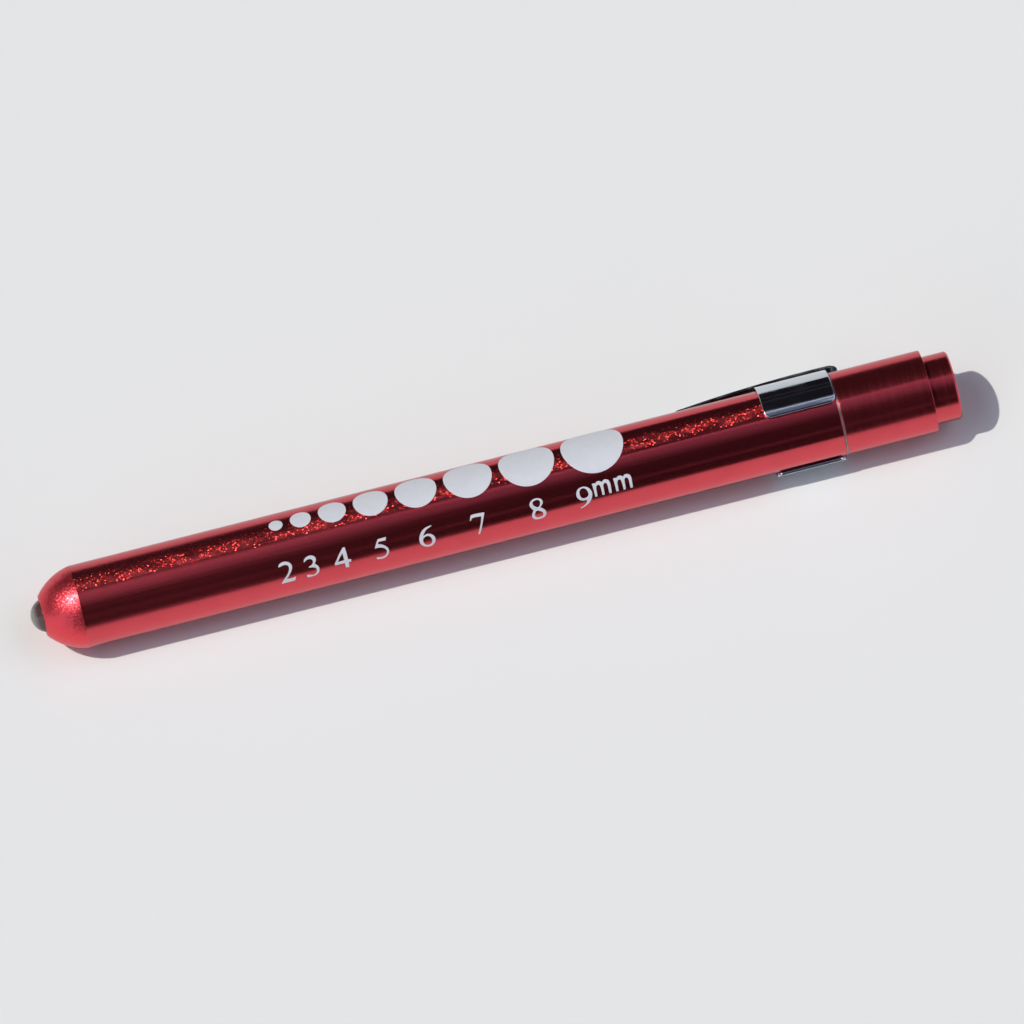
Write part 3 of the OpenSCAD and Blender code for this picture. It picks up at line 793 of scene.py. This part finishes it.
def clear_epoxy(finishes):
    """Clear cast epoxy with a faint haze; deeper in, its colour is a painted shade and a painted red reflection
    of the nose.
    """
    material, tree, coordinates = new_material("clear_epoxy")
    along = split(tree, coordinates)["X"]
    # From just behind the dome's tip backwards, the colour turns to painted shade and a painted red reflection
    # of the nose
    deep = rise(tree, along, (LENS_LOW.x + 0.1 * MM, LENS_LOW.x + 1.2 * MM))
    return dressed(
        material,
        Base_Color=tinted(tree, deep, finishes.epoxy, finishes.glow),
        Roughness=uneven(tree, noise(tree, coordinates, 700), 0.04, 0.1),
        IOR=1.53,
        Transmission_Weight=0.72,
    )


def plain_finish(name, rgb, metallic, low, high, scale, depth):
    """A finish with a mottled colour, an uneven gloss and a fine surface."""
    material, tree, coordinates = new_material(name)
    surface = noise(tree, coordinates, scale, 3)
    return dressed(
        material,
        Base_Color=mottled(tree, noise(tree, coordinates, scale / 6, 3), rgb, 0.88, 1.1),
        Metallic=metallic,
        Roughness=uneven(tree, surface, low, high),
        Normal=bumped(tree, surface, depth * MM),
    )


def pale_tabletop(finishes):
    """Pale, faintly grained floor."""
    material, tree, coordinates = new_material("pale_tabletop")
    return dressed(
        material,
        Base_Color=mottled(tree, noise(tree, coordinates, 14, 3), finishes.floor, 0.985, 1.01),
        Roughness=0.6,
        Normal=bumped(tree, noise(tree, coordinates, 1500), 0.01 * MM),
    )


def turned_aluminium(finishes):
    """Bare turned aluminium, darker, browner and duller at the collar where the seam shows."""
    material, tree, coordinates = new_material("turned_aluminium")
    along = split(tree, coordinates)["X"]
    marks = noise(tree, stretched(tree, coordinates, 1, 0.05, 0.05), 5000, 3)
    collar = between(tree, along, BARREL_HIGH.x - 0.05 * MM, BARREL_HIGH.x, 0, 1)
    # The collar is darker, browner and duller, unevenly
    dull = times(tree, collar, uneven(tree, noise(tree, coordinates, 500, 3), 0.45, 1))
    return dressed(
        material,
        Base_Color=tinted(tree, dull, finishes.aluminium, finishes.seam_collar_dark),
        Metallic=between(tree, dull, 0, 1, 1, 0.8),
        Roughness=math_of(tree, "ADD", uneven(tree, marks, 0.18, 0.32), times(tree, dull, 0.15)),
        Normal=bumped(tree, marks, 0.003 * MM),
    )


def coat(piece, material):
    """Give a piece one material."""
    piece.data.materials.clear()
    piece.data.materials.append(material)


def finish_piece(piece, material, body, node):
    """Give a piece its material and, if it has one, its body, and hide the solid that it stands for."""
    coat(piece, material)
    if body:
        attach(piece, body)
    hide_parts(node)


class PENLIGHT_OT_barrel(bpy.types.Operator):
    """Barrel with its bullet nose"""

    bl_idname = "penlight.barrel"
    bl_label = "Barrel"

    def execute(self, context):
        sizes = context.scene.penlight_barrel
        chord = Vector((sizes.nose_length, sizes.radius - sizes.rim_radius))
        sag = math.sqrt(sizes.nose_arc**2 - chord.length_squared / 4)
        centre_x = sizes.nose_length / 2 + sag * chord.y / chord.length
        centre_r = (sizes.radius + sizes.rim_radius) / 2 - sag * chord.x / chord.length

        def nose(x):
            return centre_r + math.sqrt(sizes.nose_arc**2 - (x - centre_x) ** 2)

        crease = sizes.nose_length
        shares = [step / CURVE_STEPS for step in range(CURVE_STEPS + 1)]
        corners = [(0, sizes.hole_radius, sizes.edge), (0, sizes.rim_radius, sizes.edge)]
        corners += [(crease * part, nose(crease * part), 0) for part in shares[1:-1]]
        corners += [(crease - SUPPORT, nose(crease - SUPPORT), 0), (crease, sizes.radius, 0)]
        corners += [(crease + SUPPORT, sizes.radius, 0), (sizes.seam, sizes.radius, sizes.edge)]
        thread = sizes.seam - sizes.thread_length
        corners += [(sizes.seam, sizes.thread_radius, sizes.edge), (thread, sizes.thread_radius, 0)]
        corners += [(thread, sizes.radius - sizes.wall, 0)]
        inner = [sizes.face + (crease - sizes.face) * part for part in reversed(shares)]
        corners += [(x, nose(x) - sizes.wall, 0) for x in inner]
        corners.append((sizes.face, sizes.hole_radius, 0))
        piece = turned("barrel_tube", eased(corners))
        material = barrel_red(context.scene.penlight_finishes, sizes)
        finish_piece(piece, material, "body", "barrel")
        return {"FINISHED"}


class PENLIGHT_OT_lens(bpy.types.Operator):
    """Clear body of the LED"""

    bl_idname = "penlight.lens"
    bl_label = "LED"

    def execute(self, context):
        sizes = context.scene.penlight_barrel
        base = LENS_HIGH.x
        radius = sizes.lens_radius
        centre = LENS_LOW.x + radius
        angles = [math.pi / 2 * step / CURVE_STEPS for step in range(CURVE_STEPS + 1)]
        outline = [(centre - radius * math.cos(angle), radius * math.sin(angle)) for angle in angles]
        outline += [(base - sizes.flange_width, radius), (base - sizes.flange_width, sizes.flange_radius)]
        outline += [(base, sizes.flange_radius), (base, 0)]
        piece = turned("led_dome", outline, closed=False)
        finish_piece(piece, clear_epoxy(context.scene.penlight_finishes), "body", "led_lens")
        return {"FINISHED"}


class PENLIGHT_OT_gauge(bpy.types.Operator):
    """Printed discs, their figures and the unit"""

    bl_idname = "penlight.gauge"
    bl_label = "Pupil gauge"

    def execute(self, context):
        sizes = context.scene.penlight_gauge
        radius = context.scene.penlight_barrel.radius
        upright = (math.pi / 2, 0, 0)
        bpy.ops.object.select_all(action="DESELECT")
        prints = []
        x = sizes.start
        for number in range(DISC_COUNT):
            diameter = sizes.first + number * sizes.step
            if number:
                x += diameter - sizes.step / 2 + sizes.gap
            bpy.ops.mesh.primitive_circle_add(
                vertices=DISC_STEPS,
                radius=diameter / 2,
                fill_type="NGON",
                location=(x, 0, radius * sizes.disc_angle),
                rotation=upright,
            )
            prints.append(bpy.context.object)
        foot = radius * sizes.figure_angle
        for figure, left in FIGURES:
            bpy.ops.curve.primitive_bezier_circle_add(location=(0, 0, 0))
            drawn = bpy.context.object
            drawn.data.dimensions = "2D"
            drawn.data.fill_mode = "BOTH"
            drawn.data.resolution_u = FIGURE_STEPS
            drawn.data.offset = -sizes.thin
            drawn.data.splines.clear()
            for outline in OUTLINES[figure]:
                self.draw_outline(drawn.data, outline)
            bpy.ops.object.convert(target="MESH")
            drawn = bpy.context.object
            drawn.rotation_euler = upright
            drawn.location = (left * MM, 0, foot)
            bpy.ops.object.transform_apply(location=True, rotation=True, scale=True)
            prints.append(drawn)
        join(prints)
        piece = prints[0]
        bpy.ops.object.transform_apply(location=True, rotation=True, scale=True)
        piece.name = piece.data.name = "gauge_print"
        heights = [vertex.co.z for vertex in piece.data.vertices]
        bpy.ops.object.mode_set(mode="EDIT")
        weld()
        bpy.ops.transform.translate(value=(0, -sizes.lift, 0))
        cut_across("Z", even_places(min(heights), max(heights), PRINT_ROW))
        select_all()
        extrude((0, -sizes.ink, 0))
        bpy.ops.object.mode_set(mode="OBJECT")
        wrap_round_axis(piece, radius)
        close_up(piece)
        finish_piece(piece, printing_ink(context.scene.penlight_finishes), "body", "gauge_discs")
        return {"FINISHED"}

    def draw_outline(self, curve, outline):
        """One closed outline in hundredths of a millimetre, smooth but at the points marked as corners."""
        spline = curve.splines.new("BEZIER")
        spline.use_cyclic_u = True
        spline.bezier_points.add(len(outline) - 1)
        for knot, (x, y, *corner) in zip(spline.bezier_points, outline):
            knot.co = (x * OUTLINE_UNIT, y * OUTLINE_UNIT, 0)
            knot.handle_left_type = knot.handle_right_type = "VECTOR" if corner else "AUTO"


class PENLIGHT_OT_ferrule(bpy.types.Operator):
    """Threaded ferrule whose collar shows at the seam"""

    bl_idname = "penlight.ferrule"
    bl_label = "Ferrule"

    def execute(self, context):
        sizes = context.scene.penlight_tail
        front = FERRULE_LOW.x
        back = FERRULE_HIGH.x
        collar_back = CAP_LOW.x
        collar = collar_back - sizes.collar_width
        corners = [
            (front, sizes.ferrule_bore, 0),
            (front, sizes.root_radius - sizes.lead_in, 0),
            (front + sizes.lead_in, sizes.root_radius, 0),
            (collar, sizes.root_radius, 0),
            (collar, sizes.collar_radius, sizes.collar_edge),
            (collar_back, sizes.collar_radius, sizes.collar_edge),
            (collar_back, sizes.neck_radius, 0),
            (back, sizes.neck_radius, sizes.hole_edge),
            (back, sizes.ferrule_bore, 0),
        ]
        sleeve = turned("ferrule_sleeve", eased(corners))
        # One ridge, wound from the front to the collar
        ridge = new_piece("ferrule_thread")
        half = sizes.pitch * RIDGE_HALF
        start = front + half + sizes.ridge_gap
        flank = [
            (half, sizes.root_radius - sizes.ridge_root),
            (half * RIDGE_FOOT, sizes.root_radius),
            (half * RIDGE_CREST, sizes.crest_radius - sizes.crest_drop),
        ]
        side = [(start - run, 0, height) for run, height in [*flank, (0, sizes.crest_radius)]]
        side += [(start + run, 0, height) for run, height in reversed(flank)]
        draw(side + side[:1])
        wind(ridge, sizes.pitch, math.floor((collar - start - half) / sizes.pitch), THREAD_STEPS)
        join([sleeve, ridge])
        material = turned_aluminium(context.scene.penlight_finishes)
        finish_piece(sleeve, material, "tail", "threaded_ferrule")
        return {"FINISHED"}


class PENLIGHT_OT_tail(bpy.types.Operator):
    """Tail cap and push button"""

    bl_idname = "penlight.tail"
    bl_label = "Tail cap and button"

    def execute(self, context):
        sizes = context.scene.penlight_tail
        radius = context.scene.penlight_barrel.radius
        front = CAP_LOW.x
        back = CAP_HIGH.x
        corners = [
            (front, sizes.bore_radius, 0),
            (front, radius, sizes.seam_edge),
            (back, radius, sizes.cap_edge),
            (back, sizes.button_hole, sizes.hole_edge),
            (back - sizes.lip, sizes.button_hole, 0),
            (back - sizes.lip, sizes.bore_radius, 0),
        ]
        material = turned_red(context.scene.penlight_finishes)
        cap = turned("tail_cap_shell", eased(corners))
        finish_piece(cap, material, "tail", "tail_cap")
        flange_front = BUTTON_LOW.x
        flange_back = flange_front + sizes.flange_width
        flange = BUTTON_HIGH.z
        end = BUTTON_HIGH.x
        bevel = sizes.button_edge
        floor = end - sizes.button_end
        socket_front = floor - sizes.socket_length
        corners = [
            (end, 0, 0),
            (end, sizes.button_radius - bevel, sizes.button_round),
            (end - bevel, sizes.button_radius, sizes.button_round),
            (flange_back, sizes.button_radius, 0),
            (flange_back, flange, 0),
            (flange_front, flange, 0),
            (flange_front, sizes.skirt_radius, 0),
            (floor, sizes.skirt_radius, 0),
            (floor, sizes.socket_radius, 0),
            (socket_front, sizes.socket_radius, 0),
            (socket_front, sizes.plunger_bore, 0),
            (floor, sizes.plunger_bore, 0),
            (floor, 0, 0),
        ]
        button = turned("button_cap", eased(corners, closed=False), closed=False)
        finish_piece(button, material, "button", "push_button")
        return {"FINISHED"}


class PENLIGHT_OT_return_spring(bpy.types.Operator):
    """Return spring of the push button"""

    bl_idname = "penlight.return_spring"
    bl_label = "Return spring"

    def execute(self, context):
        sizes = context.scene.penlight_tail
        half = sizes.wire / 2
        first = SPRING_LOW.x + half
        last = SPRING_HIGH.x - half
        height = SPRING_HIGH.z - half
        spring = new_piece("button_spring")
        angles = [math.tau * step / WIRE_STEPS for step in range(WIRE_STEPS + 1)]
        draw([(first + half * math.cos(angle), 0, height + half * math.sin(angle)) for angle in angles])
        wind(spring, (last - first) / sizes.coils, round(sizes.coils), SPRING_STEPS)
        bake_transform(spring)
        wire = plain_finish("return_spring_wire", *INNER_FINISHES["spring_steel"][1:])
        finish_piece(spring, wire, None, "return_spring")
        return {"FINISHED"}


class PENLIGHT_OT_clip(bpy.types.Operator):
    """Pocket clip: a sprung band and the arm that folds forward from it"""

    bl_idname = "penlight.clip"
    bl_label = "Clip"

    def execute(self, context):
        sizes = context.scene.penlight_clip
        material = bright_plating(context.scene.penlight_finishes, sizes)
        self.make_band(sizes, material)
        self.make_arm(sizes, material)
        return {"FINISHED"}

    def make_band(self, sizes, material):
        """The blank is drawn flat, gets its thickness and its edges, and is then bent round."""
        front = BAND_LOW.x
        back = bpy.context.scene.penlight_barrel.seam
        middle = sizes.inside + sizes.sheet / 2
        sweep = math.tau - sizes.open_angle
        first = middle * (math.pi + sizes.dip - sweep / 2)
        last = middle * (math.pi + sizes.dip + sweep / 2)
        band = new_piece("clip_spring_band")
        draw([(front, sizes.sheet / 2, first), (back, sizes.sheet / 2, first)])
        select_all()
        extrude((0, 0, last - first))
        select_all()
        bpy.ops.mesh.bevel(
            offset=sizes.lip_round, segments=LIP_STEPS, affect="VERTICES", offset_type="OFFSET"
        )
        inset = INSET * sizes.edge
        cut_across("X", [front + inset, back - inset])
        low, high = first + inset, last - inset
        cut_across("Z", [low, *even_places(low, high, middle * BAND_ROW), high])
        select_all()
        extrude((0, -sizes.sheet, 0))
        select_all()
        bpy.ops.mesh.normals_make_consistent(inside=False)
        bpy.ops.object.mode_set(mode="OBJECT")
        self.round_edges(band, sizes, 60)
        wrap_round_axis(band, middle)
        close_up(band)
        finish_piece(band, material, "clip", "clip_band")

    def round_edges(self, piece, sizes, degrees):
        """Round the edges that are sharper than an angle."""
        limit = math.radians(degrees)
        use_modifier(
            piece, "BEVEL", width=sizes.edge, segments=EDGE_STEPS, limit_method="ANGLE", angle_limit=limit
        )

    def make_arm(self, sizes, material):
        """The strip is drawn along its middle, widened row by row and given its thickness."""
        fold = Vector((sizes.fold_x, sizes.fold_height))
        start_angle = math.asin((fold.x - sizes.arc_x) / (sizes.arc_radius - sizes.fold_radius))
        arc = Vector((sizes.arc_x, fold.y - (sizes.arc_radius - sizes.fold_radius) * math.cos(start_angle)))
        reach = sizes.arc_radius + sizes.flick_radius
        end_angle = math.acos((sizes.rest_height + sizes.flick_radius - arc.y) / reach)
        flick = Vector((arc.x - reach * math.sin(end_angle), arc.y + reach * math.cos(end_angle)))
        tip_x = flick.x - (sizes.flick_radius + sizes.sheet / 2) * math.sin(sizes.flick_angle)

        def arc_points(centre, radius, first, last, count):
            angles = [first + (last - first) * step / count for step in range(count + 1)]
            return [centre + radius * Vector((math.cos(angle), math.sin(angle))) for angle in angles]

        half_turn = math.pi / 2
        root = bpy.context.scene.penlight_barrel.seam - sizes.edge
        turn_up = half_turn - start_angle
        path = [Vector((root + step * ROOT_STEP, fold.y - sizes.fold_radius)) for step in range(ROOT_STEPS)]
        path += arc_points(fold, sizes.fold_radius, -half_turn, turn_up, FOLD_STEPS)
        path += arc_points(arc, sizes.arc_radius, turn_up, half_turn + end_angle, ARM_STEPS)[1:]
        tip_angle = -half_turn - sizes.flick_angle
        path += arc_points(flick, sizes.flick_radius, end_angle - half_turn, tip_angle, FLICK_STEPS)[1:]
        tip = path[-1].x
        round_end = sizes.tip_width / 2
        places = [tip + round_end * (1 - math.cos(math.radians(angle))) for angle in TIP_ANGLES]

        def half_width(x):
            if x > fold.x:
                return sizes.root_width / 2
            run = (x - tip_x - round_end) / (fold.x - tip_x - round_end)
            width = sizes.tip_width / 2 + (sizes.root_width - sizes.tip_width) / 2 * max(run, 0)
            into = x - tip
            if into < round_end:
                width *= math.sqrt(max(1 - (1 - into / round_end) ** 2, TIP_LEAST))
            return width

        arm = new_piece("clip_spring_arm")
        draw([(point.x, -1, point.y) for point in path])
        select_all()
        for row in ARM_ROWS:
            extrude((0, row, 0))
        cut_across("X", places)
        bpy.ops.object.mode_set(mode="OBJECT")
        middle = sizes.inside + sizes.sheet / 2
        for vertex in arm.data.vertices:
            side = vertex.co.y * half_width(vertex.co.x)
            # The root keeps the band's curve and flattens into the fold
            curved = min(max((BAND_HIGH.x - vertex.co.x) / sizes.root_ease, 0), 1)
            if vertex.co.z < fold.y:
                vertex.co.z -= (middle - math.sqrt(middle**2 - side**2)) * curved
            vertex.co.y = side
        use_modifier(arm, "SOLIDIFY", thickness=sizes.sheet, offset=0, use_even_offset=True)
        self.round_edges(arm, sizes, 55)
        arm.rotation_euler = (-sizes.dip - half_turn, 0, 0)
        bpy.ops.object.transform_apply(location=True, rotation=True, scale=True)
        bpy.ops.object.mode_set(mode="EDIT")
        close_up(arm)
        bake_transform(arm)
        finish_piece(arm, material, None, "clip_arm")


class PENLIGHT_OT_inside(bpy.types.Operator):
    """Finishes of the solids that are kept: LED parts, cells, battery spring and switch"""

    bl_idname = "penlight.inside"
    bl_label = "Inner pieces"

    def execute(self, context):
        made = {slot: plain_finish(*finish) for slot, finish in INNER_FINISHES.items()}
        for part in frame["record"]["subparts"]:
            solid = frame["nodes"][part["node"]]
            if part["material_slot"] in made and not solid.hide_render:
                coat(solid, made[part["material_slot"]])
        return {"FINISHED"}


class PENLIGHT_OT_stage(bpy.types.Operator):
    """Floor, light and camera"""

    bl_idname = "penlight.stage"
    bl_label = "Stage"

    def execute(self, context):
        stage = context.scene.penlight_stage
        self.make_floor(stage, context.scene.penlight_finishes)
        self.make_light(stage, context.scene.penlight_finishes)
        self.make_world(stage, context.scene.penlight_finishes)
        self.make_camera(stage)
        context.scene.view_settings.view_transform = "Standard"
        return {"FINISHED"}

    def make_floor(self, stage, finishes):
        """A pale tabletop that the nose and the clip's band rest on."""
        nose = bpy.context.scene.penlight_barrel.nose_length
        slope = math.atan2(BAND_LOW.z - BARREL_LOW.z, BAND_LOW.x - nose)
        drop = stage.floor_gap - BAND_LOW.z
        bpy.ops.object.select_all(action="DESELECT")
        bpy.ops.mesh.primitive_plane_add(
            size=stage.floor_size,
            location=(BAND_LOW.x, drop * math.sin(stage.lie), -drop * math.cos(stage.lie)),
            rotation=(stage.lie, -slope, 0),
        )
        floor = bpy.context.object
        floor.name = "floor"
        coat(floor, pale_tabletop(finishes))

    def make_light(self, stage, finishes):
        """One key light, from the nose end."""
        bpy.ops.object.light_add(type="SUN", location=(-0.5, 0, 1))
        sun = bpy.context.object
        sun.name = "key_light"
        sun.data.energy = stage.sun_strength
        sun.data.angle = stage.sun_spread
        sun.data.color = finishes.sun
        back = math.sin(stage.sun_height) * math.sin(stage.sun_back)
        down = math.sin(stage.sun_height) * math.cos(stage.sun_back)
        shining = Vector((math.cos(stage.sun_height), -back, -down))
        sun.rotation_mode = "QUATERNION"
        sun.rotation_quaternion = shining.to_track_quat("-Z", "Y")

    def make_world(self, stage, finishes):
        """A strip light along the penlight, soft boxes beyond its ends and a dark front and back."""
        world = bpy.data.worlds.new("studio")
        bpy.context.scene.world = world
        world.use_nodes = True
        tree = world.node_tree
        tree.nodes.clear()
        parts = split(tree, put(tree, "ShaderNodeTexCoord").outputs["Generated"])
        lean = math_of(tree, "ARCTAN2", parts["Y"], parts["Z"])
        side = math_of(tree, "ABSOLUTE", parts["X"], 0)
        above = soft_band(tree, lean, BOX_BAND, DEGREE)
        nose_box = times(tree, above, soft_band(tree, parts["X"], NOSE_BOX))
        tail_box = times(tree, above, soft_band(tree, parts["X"], TAIL_BOX))
        front = rise(tree, lean, FRONT_EDGE, DEGREE, (1, 0))
        corners = times(tree, front, rise(tree, side, CORNER_EDGE))
        light = tinted(tree, soft_band(tree, lean, OVERHEAD_BAND, DEGREE), finishes.dark, finishes.overhead)
        lines = [(CORE_BAND, finishes.core), (FRONT_LINE, finishes.line)]
        lines += [(band, shaded(finishes.line, BACK_SHARE)) for band in BACK_LINES]
        for band, rgb in lines:
            light = tinted(tree, soft_band(tree, lean, band, DEGREE), light, rgb)
        light = tinted(tree, rise(tree, side, END_EDGE), light, finishes.aside)
        light = tinted(tree, corners, light, finishes.low)
        light = tinted(tree, nose_box, light, finishes.fill)
        light = tinted(tree, tail_box, light, shaded(finishes.fill, TAIL_SHARE))
        glow = put(tree, "ShaderNodeBackground", {"Color": light, "Strength": stage.sky_strength})
        output = put(tree, "ShaderNodeOutputWorld")
        tree.links.new(glow.outputs[0], output.inputs["Surface"])

    def make_camera(self, stage):
        """The photograph's view: high, from the nose's side, with the barrel rising to the right."""
        back = CAMERA_BACK.normalized()
        across = Vector((1, 0, 0))
        across = (across - across.dot(back) * back).normalized()
        up = back.cross(across)
        right = math.cos(stage.roll) * across - math.sin(stage.roll) * up
        top = math.sin(stage.roll) * across + math.cos(stage.roll) * up
        bpy.ops.object.camera_add()
        camera = bpy.context.object
        camera.name = "camera"
        camera.data.sensor_width = 36
        camera.data.lens = stage.focal
        camera.data.clip_start = 0.01
        camera.data.clip_end = 20
        place = Matrix((right, top, back)).transposed().to_4x4()
        place.translation = CAMERA_TARGET + back * stage.distance
        camera.matrix_world = place
        bpy.context.scene.camera = camera


class PENLIGHT_PT_panel(bpy.types.Panel):
    """Sidebar panel with the sizes and the pieces"""

    bl_idname = "PENLIGHT_PT_panel"
    bl_label = "Penlight"
    bl_space_type = "VIEW_3D"
    bl_region_type = "UI"
    bl_category = "Penlight"

    def draw(self, context):
        for step in BUILD_STEPS:
            self.layout.operator(step.bl_idname)
        for name, group in SETTINGS.items():
            box = self.layout.box()
            box.label(text=group.__doc__)
            for key in group.__annotations__:
                box.prop(getattr(context.scene, name), key)


BUILD_STEPS = (
    PENLIGHT_OT_barrel,
    PENLIGHT_OT_lens,
    PENLIGHT_OT_gauge,
    PENLIGHT_OT_ferrule,
    PENLIGHT_OT_tail,
    PENLIGHT_OT_return_spring,
    PENLIGHT_OT_clip,
    PENLIGHT_OT_inside,
    PENLIGHT_OT_stage,
)
SETTINGS = {
    "penlight_barrel": BarrelSizes,
    "penlight_tail": TailSizes,
    "penlight_gauge": GaugeSizes,
    "penlight_clip": ClipSizes,
    "penlight_finishes": Finishes,
    "penlight_stage": StageSizes,
}


def register():
    """Add the classes and hang the settings on the scene."""
    for kind in (*SETTINGS.values(), *BUILD_STEPS, PENLIGHT_PT_panel):
        bpy.utils.register_class(kind)
    for name, group in SETTINGS.items():
        setattr(bpy.types.Scene, name, bpy.props.PointerProperty(type=group))


def unregister():
    """Take the settings and the classes away again."""
    for name in SETTINGS:
        delattr(bpy.types.Scene, name)
    for kind in (PENLIGHT_PT_panel, *reversed(BUILD_STEPS), *SETTINGS.values()):
        bpy.utils.unregister_class(kind)


def main():
    """Build everything in order."""
    register()
    for step in BUILD_STEPS:
        getattr(bpy.ops.penlight, step.bl_idname.split(".")[1])()


if __name__ == "__main__":
    main()
